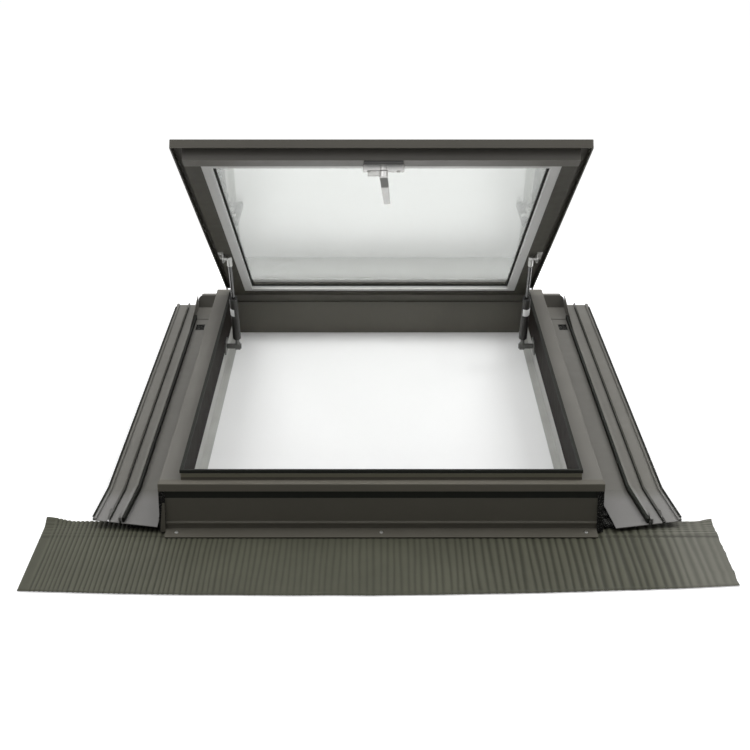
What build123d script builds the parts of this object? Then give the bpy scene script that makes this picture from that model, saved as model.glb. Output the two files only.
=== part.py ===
"""Roof skylight with its curb, flashing, apron, hinged glazed lid, gas struts and latch.

Millimetres, +Z up. The origin lies on the roof plane in the middle of the opening.
-Y is the low side of the roof with the apron, +Y the high side with the hinges.
The lid is modelled shut, then swung about the hinge axis to its open rest pose.
"""
import os
from math import atan2, cos, degrees, hypot, radians, sin

from build123d import *

os.makedirs("parts", exist_ok=True)

# Shared fits
overrun = 5.0  # how far every cutting tool runs past what it cuts
turn_clearance = 0.3  # radial room between pieces that turn on each other
face_clearance = 0.4  # room between flat faces that pass each other

# Curb: four extruded profiles around the opening
opening_width = 700.0
opening_length = 1100.0
rim_wall = 2.5
ledge_height = 93.0
rim_rise = 16.0  # rim above the ledge
ledge_plate = 2.5
ledge_round = 1.2
side_ledge = 37.5
front_ledge = 28.5
rear_ledge = 46.5
side_skirt_drop = 34.0
rear_skirt_drop = 40.0
nose_rise = 4.0  # raised lip along the front ledge
nose_depth = 13.0
nose_drop = 10.0
nose_return = 4.0
rear_rib_drop = 18.0
rear_rib_depth = 5.0
rear_rib_plate = 3.0

# Feet under the side walls
foot_plate = 2.0
foot_inward = 16.5
foot_outward = 24.0
foot_hole_bore = 6.5
foot_hole_inset = 60.0
foot_hole_count = 5

# Corner brackets outside the curb
bracket_plate = 2.0
bracket_leg = 34.0
bracket_low = 34.0
bracket_high = 84.0

# Edge seal on the rim
seal_wall = 1.5
seal_grip = 3.0
seal_rise = 2.7

# Front cover under the nose
cover_sheet = 1.8
cover_end_inset = 11.0
cover_setback = 7.0
cover_rib_height = 23.5
cover_rib_out = 3.2
cover_rib_depth = 4.5
cover_flange_height = 5.0
cover_flange_out = 28.0
cover_screw_head = 3.4
cover_screw_rise = 1.5
cover_screw_shank = 2.0
cover_screw_length = 3.6
cover_screw_inset = 19.5
screw_round_share = 0.5

# Foam closures at the front cover's ends
foam_proud = 2.0

# Apron: pleated sheet under the front cover
apron_width = 1188.0
apron_shift = -3.5  # laid a little to the left
apron_front_reach = 233.0
apron_wing_back = 52.0
apron_bow = 24.5
apron_skew = 9.5  # left corner in front of the right one
apron_sheet = 1.0
apron_rib_height = 2.4
apron_margin = 18.0
apron_rib_pitch = 11.4
rib_crest_share = 0.35
rib_flank_share = 0.15

# Folded flashing
sheet = 1.2
panel_height = 30.0
upstand_height = 82.0
left_seam_place = 91.5  # standing seams, measured out from the rim
right_seam_place = 100.0
seam_height = 10.0
seam_width = 3.6
ridge_share = 0.42  # small raised bead between seam and hem
ridge_height = 5.0
ridge_width = 4.0
left_hem_step = 53.0  # outer hem, measured out from the seam
right_hem_step = 59.0
hem_height = 4.5
hem_return = 6.0
flashing_front = 125.0  # where the side run bends down, behind the nose
flashing_back = 118.0  # how far the side run passes the rear wall
tip_run = 124.0
left_tip_lift = 10.0  # tips above the apron; each side is bent by hand
right_tip_lift = 5.0
left_tip_skew = 24.0  # outer end of the tips behind the inner end
right_tip_skew = 28.0
left_tip_flare = 17.0
right_tip_flare = 27.0
left_inner_flare = 2.5
right_inner_flare = 23.0
tip_inner_gap = 1.5
tip_slit = 3.0
tip_slit_length = 60.0
slot_width = 20.0
slot_length = 42.0
slot_back = 58.0
cheek_rise = 31.0
cheek_length = 300.0

# Head flashing behind the curb
gutter_back = 97.0  # back wall of the gutter, measured from the rear wall
gutter_rise = 31.0
gutter_hem = 12.0
gutter_corner_radius = 14.0

# Lid cover, glazing and inner sash
lid_plate = 2.5
lid_seal_gap = 0.3
lid_overhang = 12.2
lid_rear_overhang = 27.5
lid_corner_radius = 3.0
skirt_depth = 15.0
rear_skirt_depth = 8.0
sash_inset = 20.0
sash_wall = 2.5
sash_side_width = 28.7
sash_front_width = 36.0
sash_rear_width = 37.0
sash_rear_gap = 5.0
pane = 4.0
pane_gap = 6.0
pane_edge_gap = 2.3
spacer_width = 9.0
outer_gasket_plate = 1.5
inner_gasket_plate = 4.0
inner_gasket_lip = 4.0
gasket_width = 8.0
bead_reach = 17.5
bead_plate = 1.5
bead_flat = 1.8
bead_lip = 7.8
bead_recess = 1.5
bead_clip = 11.0

# Hinges on the rear ledge
open_angle = 29.33
hinge_back = 17.5  # axis behind the rear wall's outer face
hinge_drop = 5.0  # axis below the underside of the lid cover
hinge_place = 230.0
hinge_length = 90.0
hinge_leaf = 2.5
hinge_leaf_reach = 22.0
hinge_lid_reach = 15.0
knuckle_radius = 4.5
hinge_pin_radius = 2.4
pin_head_radius = 3.8
pin_head = 1.5

# Gas struts
strut_inset = 28.0  # strut axis, in from the side wall
strut_low_back = 219.0  # lower pivot, in front of the rear wall
strut_low_height = 40.0
strut_run = 184.0  # upper pivot in front of the lower one, with the lid shut
strut_top_drop = 8.2  # upper pivot below the sash
strut_eye_radius = 8.5
strut_eye_width = 11.0
strut_neck_radius = 4.6
strut_pin_radius = 4.0
strut_pin_head = 6.0
strut_pin_cap = 2.0
tube_radius = 9.0
tube_wall = 1.5
tube_floor = 6.0
cap_length = 9.0
cap_lip = 2.5
rod_radius = 4.0
rod_inside = 14.0  # rod left in the tube with the lid open, piston and all
piston_length = 8.0
piston_room = 1.5  # piston above the tube's floor with the lid shut
rod_shut = 5.5  # rod left outside the cap with the lid shut
fitting_radius = 5.6
fitting_length = 20.0
stud_radius = 3.6
stud_flange_radius = 7.5
stud_flange = 2.0
plate_thickness = 3.0
frame_plate_length = 52.0
frame_plate_height = 30.0
plate_round_share = 0.25
lid_plate_length = 54.0
lid_plate_inner = 8.0
lid_tab_length = 24.0
lid_tab_below = 8.5
tab_round_share = 0.33

# Latch
latch_plate_length = 72.0
latch_plate_width = 14.0
latch_plate_depth = 10.0
latch_plate_round = 2.5
latch_boss_radius = 9.0
latch_pad_depth = 1.5  # pad between the plate and the sash
latch_pad_inset = 1.5
latch_offset = 4.0  # latch to the right of the middle
latch_plate_inset = 0.3  # from the inner edge of the front sash
latch_screw_place = 26.0
latch_screw_head = 3.6
latch_screw_rise = 1.5
hub_radius = 7.8
hub_length = 12.5
hub_round = 1.5
hub_fit = 0.1  # room between the hub and the pieces clamped on it
spindle_radius = 4.5
pawl_reach = 28.0
pawl_width = 8.0
pawl_depth = 6.0
pawl_rise = 4.5  # pawl above the hub's low end
pawl_nose_radius = 2.0
pawl_tip_share = 0.67
handle_tilt = 20.0
handle_swing = 5.0
collar_length = 21.0
collar_width = 13.5
collar_depth = 7.0
collar_round_share = 0.25
blade_length = 52.0
blade_width = 13.5
blade_tip_width = 11.0
blade_depth = 6.5
blade_tip_depth = 4.0
blade_round = 1.4
keeper_width = 34.0
keeper_plate = 2.5
keeper_lip = 14.0
keeper_height = 20.0
keeper_gap = 1.0

# Places that follow from the sizes above
rim_height = ledge_height + rim_rise
side_in = opening_width / 2
side_out = side_in + rim_wall
end_in = opening_length / 2
end_out = end_in + rim_wall
side_edge = side_out + side_ledge
nose_y = -end_out - front_ledge
back_edge = end_out + rear_ledge
ledge_under = ledge_height - ledge_plate
nose_top = ledge_height + nose_rise
nose_low = ledge_height - nose_drop
lid_under = rim_height + seal_rise + lid_seal_gap
lid_top = lid_under + lid_plate
glass_stack = outer_gasket_plate + pane + pane_gap + pane + inner_gasket_plate
sash_low = lid_under - glass_stack - bead_lip - bead_recess
lid_side = side_out + lid_overhang
lid_front = -end_out - lid_overhang
lid_rear = end_out + lid_rear_overhang
sash_side_out = lid_side - sash_inset
sash_side_in = sash_side_out - sash_side_width
sash_front_out = lid_front + sash_inset
sash_front_in = sash_front_out + sash_front_width
sash_rear_out = end_in - sash_rear_gap
sash_rear_in = sash_rear_out - sash_rear_width
view_side = sash_side_in - bead_reach
view_front = sash_front_in + bead_reach
view_rear = sash_rear_in - bead_reach
pane_side = sash_side_in - pane_edge_gap
pane_front = sash_front_in + pane_edge_gap
pane_rear = sash_rear_in - pane_edge_gap
outer_pane_top = lid_under - outer_gasket_plate
outer_pane_low = outer_pane_top - pane
inner_pane_top = outer_pane_low - pane_gap
inner_pane_low = inner_pane_top - pane
bead_low = sash_low + bead_recess
hinge_y = end_out + hinge_back
hinge_z = lid_under - hinge_drop
hinge_axis = Axis((0, hinge_y, hinge_z), (1, 0, 0))
apron_top = apron_sheet + apron_rib_height


def block(x0, x1, y0, y1, z0, z1):
    """A box between two opposite corners."""
    corner = (Align.MIN, Align.MIN, Align.MIN)
    return Pos(x0, y0, z0) * Box(x1 - x0, y1 - y0, z1 - z0, align=corner)


def along_x(outline, x0, x1):
    """Extrude a closed outline of (y, z) points from x0 to x1."""
    plane = Plane(origin=(x0, 0, 0), x_dir=(0, 1, 0), z_dir=(1, 0, 0))
    return extrude(plane * make_face(Polyline(*outline, close=True)), x1 - x0)


def along_y(outline, y0, y1):
    """Extrude a closed outline of (x, z) points from y0 to y1."""
    plane = Plane(origin=(0, y1, 0), x_dir=(1, 0, 0), z_dir=(0, -1, 0))
    return extrude(plane * make_face(Polyline(*outline, close=True)), y1 - y0)


def rod_x(radius, x0, x1, y, z):
    """A round bar along X."""
    plane = Plane(origin=(x0, y, z), x_dir=(0, 1, 0), z_dir=(1, 0, 0))
    return extrude(plane * Circle(radius), x1 - x0)


def folded(path, thickness):
    """The closed outline of a sheet that follows a bent path, on the path's left side."""
    normals = []
    for (a0, b0), (a1, b1) in zip(path, path[1:]):
        run = hypot(a1 - a0, b1 - b0)
        normals.append(((b0 - b1) / run, (a1 - a0) / run))
    offset_side = []
    for i, (a, b) in enumerate(path):
        n0 = normals[max(i - 1, 0)]
        n1 = normals[min(i, len(normals) - 1)]
        spread = 1 + n0[0] * n1[0] + n0[1] * n1[1]
        offset_side.append((
            a + thickness * (n0[0] + n1[0]) / spread,
            b + thickness * (n0[1] + n1[1]) / spread,
        ))
    return list(path) + offset_side[::-1]


def mirrored(shape):
    """The same piece on the other side of the skylight."""
    return mirror(shape, about=Plane.YZ)


def opened(shape):
    """Swing a piece of the shut lid to the open rest pose."""
    return shape.rotate(hinge_axis, -open_angle)


def save(name, *solids):
    """Write one named node, as one solid or a group of separate solids."""
    shape = solids[0] if len(solids) == 1 else Compound(children=list(solids))
    shape.label = name
    export_step(shape, f"parts/{name}.step")


def make_curb_front():
    wall = block(-side_out, side_out, -end_out, -end_in, 0, rim_height)
    nose_in = nose_y + ledge_plate
    nose_back = nose_y + nose_depth
    outline = [
        (-end_out, ledge_under),
        (-end_out, ledge_height),
        (nose_back, ledge_height),
        (nose_back, nose_top),
        (nose_y, nose_top),
        (nose_y, nose_low),
        (nose_in + nose_return, nose_low),
        (nose_in + nose_return, nose_low + ledge_plate),
        (nose_in, nose_low + ledge_plate),
        (nose_in, nose_top - ledge_plate),
        (nose_back - ledge_plate, nose_top - ledge_plate),
        (nose_back - ledge_plate, ledge_under),
    ]
    ledge = along_x(outline, -side_edge, side_edge)
    brow = ledge.edges().filter_by(Axis.X).group_by(Axis.Z)[-1].sort_by(Axis.Y)[0]
    return wall + fillet(brow, ledge_round)


def make_curb_rear():
    wall = block(-side_out, side_out, end_in, end_out, 0, rim_height)
    rib_top = ledge_height - rear_rib_drop + rear_rib_plate
    wall += block(-side_in, side_in, end_in - rear_rib_depth, end_in, rib_top - rear_rib_plate, rib_top)
    outline = [
        (end_out, ledge_under),
        (end_out, ledge_height),
        (back_edge, ledge_height),
        (back_edge, ledge_height - rear_skirt_drop),
        (back_edge - ledge_plate, ledge_height - rear_skirt_drop),
        (back_edge - ledge_plate, ledge_under),
    ]
    ledge = along_x(outline, -side_edge, side_edge)
    brow = ledge.edges().filter_by(Axis.X).group_by(Axis.Z)[-1].sort_by(Axis.Y)[-1]
    return wall + fillet(brow, ledge_round)


def make_curb_side():
    skirt_low = ledge_height - side_skirt_drop
    wall = block(side_in, side_out, -end_in, end_in, foot_plate, rim_height)
    outline = [
        (side_out, ledge_under),
        (side_edge - ledge_plate, ledge_under),
        (side_edge - ledge_plate, skirt_low),
        (side_edge, skirt_low),
        (side_edge, ledge_height),
        (side_out, ledge_height),
    ]
    ledge = along_y(outline, -end_out, end_out)
    brow = ledge.edges().filter_by(Axis.Y).group_by(Axis.Z)[-1].sort_by(Axis.X)[-1]
    return wall + fillet(brow, ledge_round)


def make_foot():
    hole_x = side_out + foot_outward / 2
    bar = block(side_in - foot_inward, side_out + foot_outward, -end_in, end_in, 0, foot_plate)
    hole_run = opening_length - 2 * foot_hole_inset
    for i in range(foot_hole_count):
        hole_y = -hole_run / 2 + hole_run * i / (foot_hole_count - 1)
        bar -= Pos(hole_x, hole_y, 0) * Cylinder(foot_hole_bore / 2, 2 * foot_plate + overrun)
    return bar


def make_corner_brackets():
    """Four angles that tie the curb's walls together, outside, under the ledge."""
    leg_x = side_out - bracket_leg
    leg_y = -end_out + bracket_leg
    outline = [
        (leg_x, -end_out),
        (side_out, -end_out),
        (side_out, leg_y),
        (side_out + bracket_plate, leg_y),
        (side_out + bracket_plate, -end_out - bracket_plate),
        (leg_x, -end_out - bracket_plate),
    ]
    face = make_face(Polyline(*outline, close=True))
    front = Pos(0, 0, bracket_low) * extrude(face, bracket_high - bracket_low)
    rear = mirror(front, about=Plane.XZ)
    return front, rear, mirrored(front), mirrored(rear)


def make_rim_seal():
    """A clip-on edge seal, cut through where the hinge leaves cross the rear wall."""
    low = rim_height - seal_grip
    top = rim_height + seal_rise
    seal = block(-side_out - seal_wall, side_out + seal_wall, -end_out - seal_wall,
                 end_out + seal_wall, low, top)
    seal -= block(-side_in + seal_wall, side_in - seal_wall, -end_in + seal_wall,
                  end_in - seal_wall, low - overrun, top + overrun)
    rim = block(-side_out, side_out, -end_out, end_out, low - overrun, rim_height)
    rim -= block(-side_in, side_in, -end_in, end_in, low - overrun, rim_height + overrun)
    seal -= rim
    gap = hinge_length / 2 + face_clearance
    for x in (-hinge_place, hinge_place):
        seal -= block(x - gap, x + gap, end_in - seal_wall - overrun, end_out + seal_wall + overrun,
                      rim_height - seal_grip - overrun, top + overrun)
    return seal


cover_half = side_edge - cover_end_inset
cover_face = nose_y + cover_setback
cover_flange_run = hypot(cover_flange_out, cover_flange_height)
cover_flange_low = apron_top + cover_sheet * cover_flange_out / cover_flange_run
cover_flange_top = cover_flange_low + cover_flange_height


def cover_screw_places():
    """Frames on the sloping flange, with Z square to it."""
    slope = degrees(atan2(cover_flange_height, cover_flange_out))
    mid_y = cover_face - cover_flange_out / 2
    mid_z = cover_flange_low + cover_flange_height / 2
    across = cover_half - cover_screw_inset
    return [Pos(x, mid_y, mid_z) * Rot(slope, 0, 0) for x in (-across, 0, across)]


def make_front_cover():
    """Plain face under the nose, a rib along it, a groove and a flange that slopes to the apron."""
    path = [
        (cover_face, nose_top - ledge_plate),
        (cover_face, cover_flange_top),
        (cover_face - cover_flange_out, cover_flange_low),
    ]
    rib_low = cover_rib_height - cover_rib_depth
    rib = [
        (cover_face, cover_rib_height),
        (cover_face - cover_rib_out, rib_low + cover_rib_depth / 2),
        (cover_face - cover_rib_out, rib_low),
        (cover_face, rib_low),
    ]
    cover = along_x(folded(path, cover_sheet), -cover_half, cover_half)
    cover += along_x(rib, -cover_half, cover_half)
    for place in cover_screw_places():
        cover -= place * Cylinder(cover_screw_shank + face_clearance, 2 * cover_screw_length)
    return cover


def make_cover_screws():
    """Pan-head screws set square to the sloping flange."""
    head = extrude(Circle(cover_screw_head), cover_screw_rise)
    head = fillet(head.edges().sort_by(Axis.Z)[-1:], cover_screw_rise * screw_round_share)
    head += extrude(Circle(cover_screw_shank), -cover_screw_length)
    return [place * head for place in cover_screw_places()]


def make_foam():
    """Foam block at the front cover's right end, low beside the flashing and high under the nose."""
    front = cover_face - foam_proud
    high = block(cover_half, side_edge, front, -end_out - face_clearance, apron_top, nose_low - face_clearance)
    return high + block(cover_half, tip_inner - face_clearance, front, bend_y - face_clearance,
                        apron_top, panel_height)


def make_apron():
    """Pleats run down the slope; flat margins at both ends; notched round the curb."""
    half = apron_width / 2
    pleated = apron_width - 2 * apron_margin
    count = int(round(pleated / apron_rib_pitch))
    pitch = pleated / count
    crest = pitch * rib_crest_share
    flank = pitch * rib_flank_share
    path = [(-half, 0)]
    for i in range(count):
        start = -half + apron_margin + pitch * i
        path += [
            (start, 0),
            (start + flank, apron_rib_height),
            (start + flank + crest, apron_rib_height),
            (start + 2 * flank + crest, 0),
        ]
    path.append((half, 0))
    y_back = nose_y + apron_wing_back
    y_front = nose_y - apron_front_reach
    rippled = along_y(folded(path, apron_sheet), y_front - overrun, y_back)
    left = (-half, y_front + apron_bow - apron_skew)
    right = (half, y_front + apron_bow + apron_skew)
    edge = ThreePointArc(left, (0, y_front), right)
    sides = Polyline(right, (half, y_back), (-half, y_back), left)
    outline = extrude(make_face([edge, sides]), apron_top + overrun)
    sheet_laid = Pos(apron_shift, 0, 0) * (rippled & outline)
    notch_side = side_out + foot_outward + face_clearance
    notch_front = -end_out - bracket_plate - face_clearance
    notch = block(-notch_side, notch_side, notch_front, y_back + overrun, -overrun, apron_top + overrun)
    return sheet_laid - notch


upstand_x = side_out + bracket_plate
bend_y = nose_y + flashing_front
flashing_end = end_out + flashing_back
tip_y = bend_y - tip_run
tip_inner = side_edge + tip_inner_gap


def flashing_path(inner_x, base, seam, hem_step):
    """The panel's section from its inner edge over seam and bead to the outer hem."""
    bead = seam + hem_step * ridge_share
    hem = seam + hem_step
    return [
        (inner_x, base),
        (seam, base),
        (seam, base + seam_height),
        (seam + seam_width, base + seam_height),
        (seam + seam_width, base),
        (bead, base),
        (bead + ridge_width / 2, base + ridge_height),
        (bead + ridge_width, base),
        (hem, base),
        (hem, base + hem_height),
        (hem - hem_return, base + hem_height),
    ]


def make_side_flashing(seam_place, hem_step, lift, skew, flare, inner_flare):
    """One folded sheet: upstand, panel, standing seam, bead, hem and bent-down tips."""
    seam = side_out + seam_place
    run_path = [(upstand_x, upstand_height)] + flashing_path(upstand_x, panel_height, seam, hem_step)
    piece = along_y(folded(run_path, sheet), bend_y, flashing_end)
    piece -= block(upstand_x - overrun, upstand_x + sheet + overrun, end_out, flashing_end + overrun,
                   panel_height + sheet, upstand_height + overrun)
    bend = (bend_y, tip_inner, panel_height, seam)
    tip = (tip_y, tip_inner + inner_flare, apron_top + lift, seam + flare)
    sections = []
    for y, inner, base, place in (bend, tip):
        plane = Plane(origin=(0, y, 0), x_dir=(1, 0, 0), z_dir=(0, -1, 0))
        outline = folded(flashing_path(inner, base, place, hem_step), sheet)
        sections.append(plane * make_face(Polyline(*outline, close=True)))
    piece += loft(sections, ruled=True)
    tall = panel_height + seam_height
    outer = seam + hem_step + flare
    cut = [(tip_inner, tip_y - overrun), (tip_inner, tip_y), (outer, tip_y + skew),
           (outer + overrun, tip_y + skew), (outer + overrun, tip_y - overrun)]
    piece -= extrude(make_face(Polyline(*cut, close=True)), tall + overrun)
    ridge = seam + hem_step * ridge_share
    for x in (seam + seam_width + tip_slit, ridge + ridge_width + tip_slit):
        slit_x = x + flare / 2
        piece -= block(slit_x, slit_x + tip_slit, tip_y - overrun, tip_y + tip_slit_length,
                       0, tall + overrun)
    slot_y = end_out - slot_back
    slot_x = seam - slot_width
    piece -= block(slot_x - slot_width / 2, slot_x + slot_width / 2, slot_y - slot_length / 2,
                   slot_y + slot_length / 2, panel_height - overrun, panel_height + sheet + overrun)
    gutter_y = end_out + gutter_back
    base = panel_height + sheet
    cheek = [(gutter_y, base), (gutter_y, base + cheek_rise), (gutter_y - cheek_length, base)]
    return piece + along_x(cheek, seam - sheet, seam)


def gutter_end_cuts(half):
    """What is cut from the gutter's right end: the wing past the upstand and a rounded corner."""
    base = panel_height + sheet
    front = end_out + bracket_plate
    back = end_out + gutter_back
    wing = block(upstand_x, half + overrun, front - overrun, front + sheet + overrun,
                 base + sheet, upstand_height + overrun)
    top = base + gutter_rise + sheet
    round_x = half - gutter_corner_radius
    round_z = top - gutter_corner_radius
    reach = gutter_hem + 2 * overrun
    corner = block(round_x, half + overrun, back - overrun, back + reach, round_z, top + overrun)
    corner -= Pos(round_x, back, round_z) * Rot(90, 0, 0) * Cylinder(gutter_corner_radius, 2 * reach)
    return wing, corner


def make_head_flashing():
    """Gutter behind the curb, standing between the cheeks of the side flashing."""
    left_half = side_out + left_seam_place - sheet - face_clearance
    right_half = side_out + right_seam_place - sheet - face_clearance
    base = panel_height + sheet
    front = end_out + bracket_plate
    back = end_out + gutter_back
    path = [
        (front, upstand_height),
        (front, base),
        (back - sheet, base),
        (back - sheet, base + gutter_rise),
        (back + gutter_hem, base + gutter_rise),
    ]
    gutter = along_x(folded(path, sheet), -left_half, right_half)
    for tool in gutter_end_cuts(right_half):
        gutter -= tool
    for tool in gutter_end_cuts(left_half):
        gutter -= mirrored(tool)
    return gutter


def make_hinge():
    """A butt hinge: leaf on the rear ledge, pin with two heads, leaf under the lid cover."""
    third = hinge_length / 3
    leaf_top = ledge_height + hinge_leaf
    bore = hinge_pin_radius + turn_clearance
    frame_leaf = block(-hinge_length / 2, hinge_length / 2, hinge_y - knuckle_radius,
                       hinge_y + hinge_leaf_reach, ledge_height, leaf_top)
    lid_leaf = block(-third / 2 + face_clearance, third / 2 - face_clearance,
                     hinge_y - hinge_lid_reach, hinge_y, lid_under - hinge_leaf, lid_under)
    lid_leaf += block(-hinge_length / 2, hinge_length / 2, hinge_y - hinge_lid_reach,
                      hinge_y - knuckle_radius - face_clearance, lid_under - hinge_leaf, lid_under)
    for x in (-third, third):
        x0 = x - third / 2
        x1 = x + third / 2
        frame_leaf += rod_x(knuckle_radius, x0, x1, hinge_y, hinge_z)
        frame_leaf += block(x0, x1, hinge_y - knuckle_radius, hinge_y - knuckle_radius + hinge_leaf,
                            leaf_top, hinge_z)
    lid_leaf += rod_x(knuckle_radius, -third / 2 + face_clearance, third / 2 - face_clearance,
                      hinge_y, hinge_z)
    tool = rod_x(bore, -hinge_length, hinge_length, hinge_y, hinge_z)
    half = hinge_length / 2
    pin = rod_x(hinge_pin_radius, -half - pin_head, half + pin_head, hinge_y, hinge_z)
    pin += rod_x(pin_head_radius, -half - pin_head, -half, hinge_y, hinge_z)
    pin += rod_x(pin_head_radius, half, half + pin_head, hinge_y, hinge_z)
    return frame_leaf - tool, pin, opened(lid_leaf - tool)


def make_lid_cover():
    """Pressed frame of flat top and skirt, open over the glass, short skirt over the hinges."""
    blank = block(-lid_side, lid_side, lid_front, lid_rear, lid_top - skirt_depth, lid_top)
    blank = fillet(blank.edges().filter_by(Axis.Z), lid_corner_radius)
    shell = offset(blank, -lid_plate, openings=blank.faces().sort_by(Axis.Z)[0])
    shell -= block(-view_side, view_side, view_front, view_rear, lid_under - overrun, lid_top + overrun)
    return shell - block(-lid_side - overrun, lid_side + overrun, hinge_y - knuckle_radius,
                         lid_rear + overrun, lid_top - skirt_depth - overrun, lid_top - rear_skirt_depth)


def hollow_bar(x0, x1, y0, y1, lengthwise):
    """A box section of the sash, open at its ends."""
    bar = block(x0, x1, y0, y1, sash_low, lid_under)
    trim_x = -overrun if lengthwise == "x" else sash_wall
    trim_y = -overrun if lengthwise == "y" else sash_wall
    return bar - block(x0 + trim_x, x1 - trim_x, y0 + trim_y, y1 - trim_y,
                       sash_low + sash_wall, lid_under - sash_wall)


def make_bead(length, run):
    """Glazing bead along X: clip leg, flat and an upright lip that carries the gasket.

    The outline is (distance in from the sash, height); both ends are mitred.
    """
    flat_top = bead_low + bead_flat
    lip_top = bead_low + bead_lip
    outline = [
        (0, bead_low),
        (run, bead_low),
        (run, lip_top),
        (run - bead_plate, lip_top),
        (run - bead_plate, flat_top),
        (bead_plate, flat_top),
        (bead_plate, bead_low + bead_clip),
        (0, bead_low + bead_clip),
    ]
    bar = along_x(outline, -length / 2, length / 2)
    for side in (-1, 1):
        end = side * length / 2
        wedge = [(end, 0), (end - side * run, run), (end, run)]
        tool = extrude(make_face(Polyline(*wedge, close=True)), lid_top)
        bar -= tool
    return bar


def ring(x_out, y0_out, y1_out, inset, z0, z1):
    """A flat rectangular frame of even width."""
    outer = block(-x_out, x_out, y0_out, y1_out, z0, z1)
    return outer - block(-x_out + inset, x_out - inset, y0_out + inset, y1_out - inset,
                         z0 - overrun, z1 + overrun)


strut_x = side_in - strut_inset
low_y = end_in - strut_low_back
shut_y = low_y - strut_run
shut_z = sash_low - strut_top_drop
open_turn = radians(open_angle)
top_y = hinge_y + (shut_y - hinge_y) * cos(open_turn) + (shut_z - hinge_z) * sin(open_turn)
top_z = hinge_z - (shut_y - hinge_y) * sin(open_turn) + (shut_z - hinge_z) * cos(open_turn)
strut_length = hypot(top_y - low_y, top_z - strut_low_height)
shut_length = hypot(shut_y - low_y, shut_z - strut_low_height)
strut_stroke = strut_length - shut_length
tube_run = tube_floor + piston_room + strut_stroke + rod_inside + cap_length
tube_start = shut_length - fitting_length - rod_shut - cap_lip - tube_run
rod_low = tube_start + tube_floor + piston_room + strut_stroke
tube_mouth = tube_start + tube_run
strut_lean = degrees(atan2(low_y - top_y, top_z - strut_low_height))
stud_end = lid_side - sash_inset - plate_thickness - lid_plate_inner


def strut_placed(shape):
    """Stand a strut piece, modelled up from the origin along Z, on the lower pivot."""
    return Pos(strut_x, low_y, strut_low_height) * Rot(strut_lean, 0, 0) * shape


def make_strut():
    """Right-hand gas strut: eye, tube, guide cap, rod and end fitting with stud."""
    base = (Align.CENTER, Align.CENTER, Align.MIN)
    tube = Pos(0, 0, tube_start) * Cylinder(tube_radius, tube_mouth - tube_start, align=base)
    bore_radius = tube_radius - tube_wall
    tube -= Pos(0, 0, tube_start + tube_floor) * Cylinder(bore_radius, tube_mouth, align=base)
    eye = rod_x(strut_eye_radius, -strut_eye_width / 2, strut_eye_width / 2, 0, 0)
    eye += Cylinder(strut_neck_radius, tube_start, align=base)
    eye -= rod_x(strut_pin_radius + turn_clearance, -strut_eye_width, strut_eye_width, 0, 0)
    cap = Pos(0, 0, tube_mouth - cap_length) * Cylinder(bore_radius, cap_length, align=base)
    cap += Pos(0, 0, tube_mouth) * Cylinder(tube_radius, cap_lip, align=base)
    cap -= Cylinder(rod_radius + turn_clearance, 2 * strut_length)
    fitting_low = strut_length - fitting_length
    rod = Pos(0, 0, rod_low) * Cylinder(rod_radius, fitting_low - rod_low, align=base)
    piston_radius = bore_radius - turn_clearance
    rod += Pos(0, 0, rod_low) * Cylinder(piston_radius, piston_length, align=base)
    fitting = Pos(0, 0, fitting_low) * Cylinder(fitting_radius, fitting_length, align=base)
    fitting += Pos(0, 0, strut_length) * Sphere(fitting_radius)
    flange_x = stud_end - face_clearance - strut_x
    fitting += rod_x(stud_radius, 0, flange_x, 0, strut_length)
    fitting += rod_x(stud_flange_radius, flange_x - stud_flange, flange_x, 0, strut_length)
    return [strut_placed(piece) for piece in (eye, tube, cap, rod, fitting)]


def make_strut_frame_bracket():
    """Plate on the side wall with a headed pin that carries the strut's eye."""
    plate = block(side_in - plate_thickness, side_in, low_y - frame_plate_length / 2,
                  low_y + frame_plate_length / 2, strut_low_height - frame_plate_height / 2,
                  strut_low_height + frame_plate_height / 2)
    plate = fillet(plate.edges().filter_by(Axis.X), frame_plate_height * plate_round_share)
    pin_end = strut_x - strut_eye_width / 2 - face_clearance
    pin = rod_x(strut_pin_radius, pin_end, side_in - plate_thickness, low_y, strut_low_height)
    pin += rod_x(strut_pin_head, pin_end - strut_pin_cap, pin_end, low_y, strut_low_height)
    shoulder = strut_x + strut_eye_width / 2 + face_clearance
    pin += rod_x(strut_pin_head, shoulder, side_in - plate_thickness, low_y, strut_low_height)
    return plate, pin


def make_strut_lid_bracket():
    """Angle under the side sash; its tab stands beside the stud of the rod's fitting."""
    plate = block(stud_end, sash_side_out, shut_y - lid_plate_length / 2,
                  shut_y + lid_plate_length / 2, sash_low - plate_thickness, sash_low)
    tab_low = shut_z - lid_tab_below
    tab = block(stud_end, stud_end + plate_thickness, shut_y - lid_tab_length / 2,
                shut_y + lid_tab_length / 2, tab_low, sash_low)
    tab = fillet(tab.edges().filter_by(Axis.X).group_by(Axis.Z)[0], lid_tab_length * tab_round_share)
    return opened(plate + tab)


latch_y = sash_front_in - latch_plate_inset - latch_boss_radius
latch_low = sash_low - latch_pad_depth - latch_plate_depth
hub_low = latch_low - hub_length


def latch_placed(shape):
    """Set a latch piece, modelled on its spindle with the plate's face at Z 0, on the shut lid."""
    return opened(Pos(latch_offset, latch_y, latch_low) * Rot(0, 0, -handle_swing) * shape)


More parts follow.
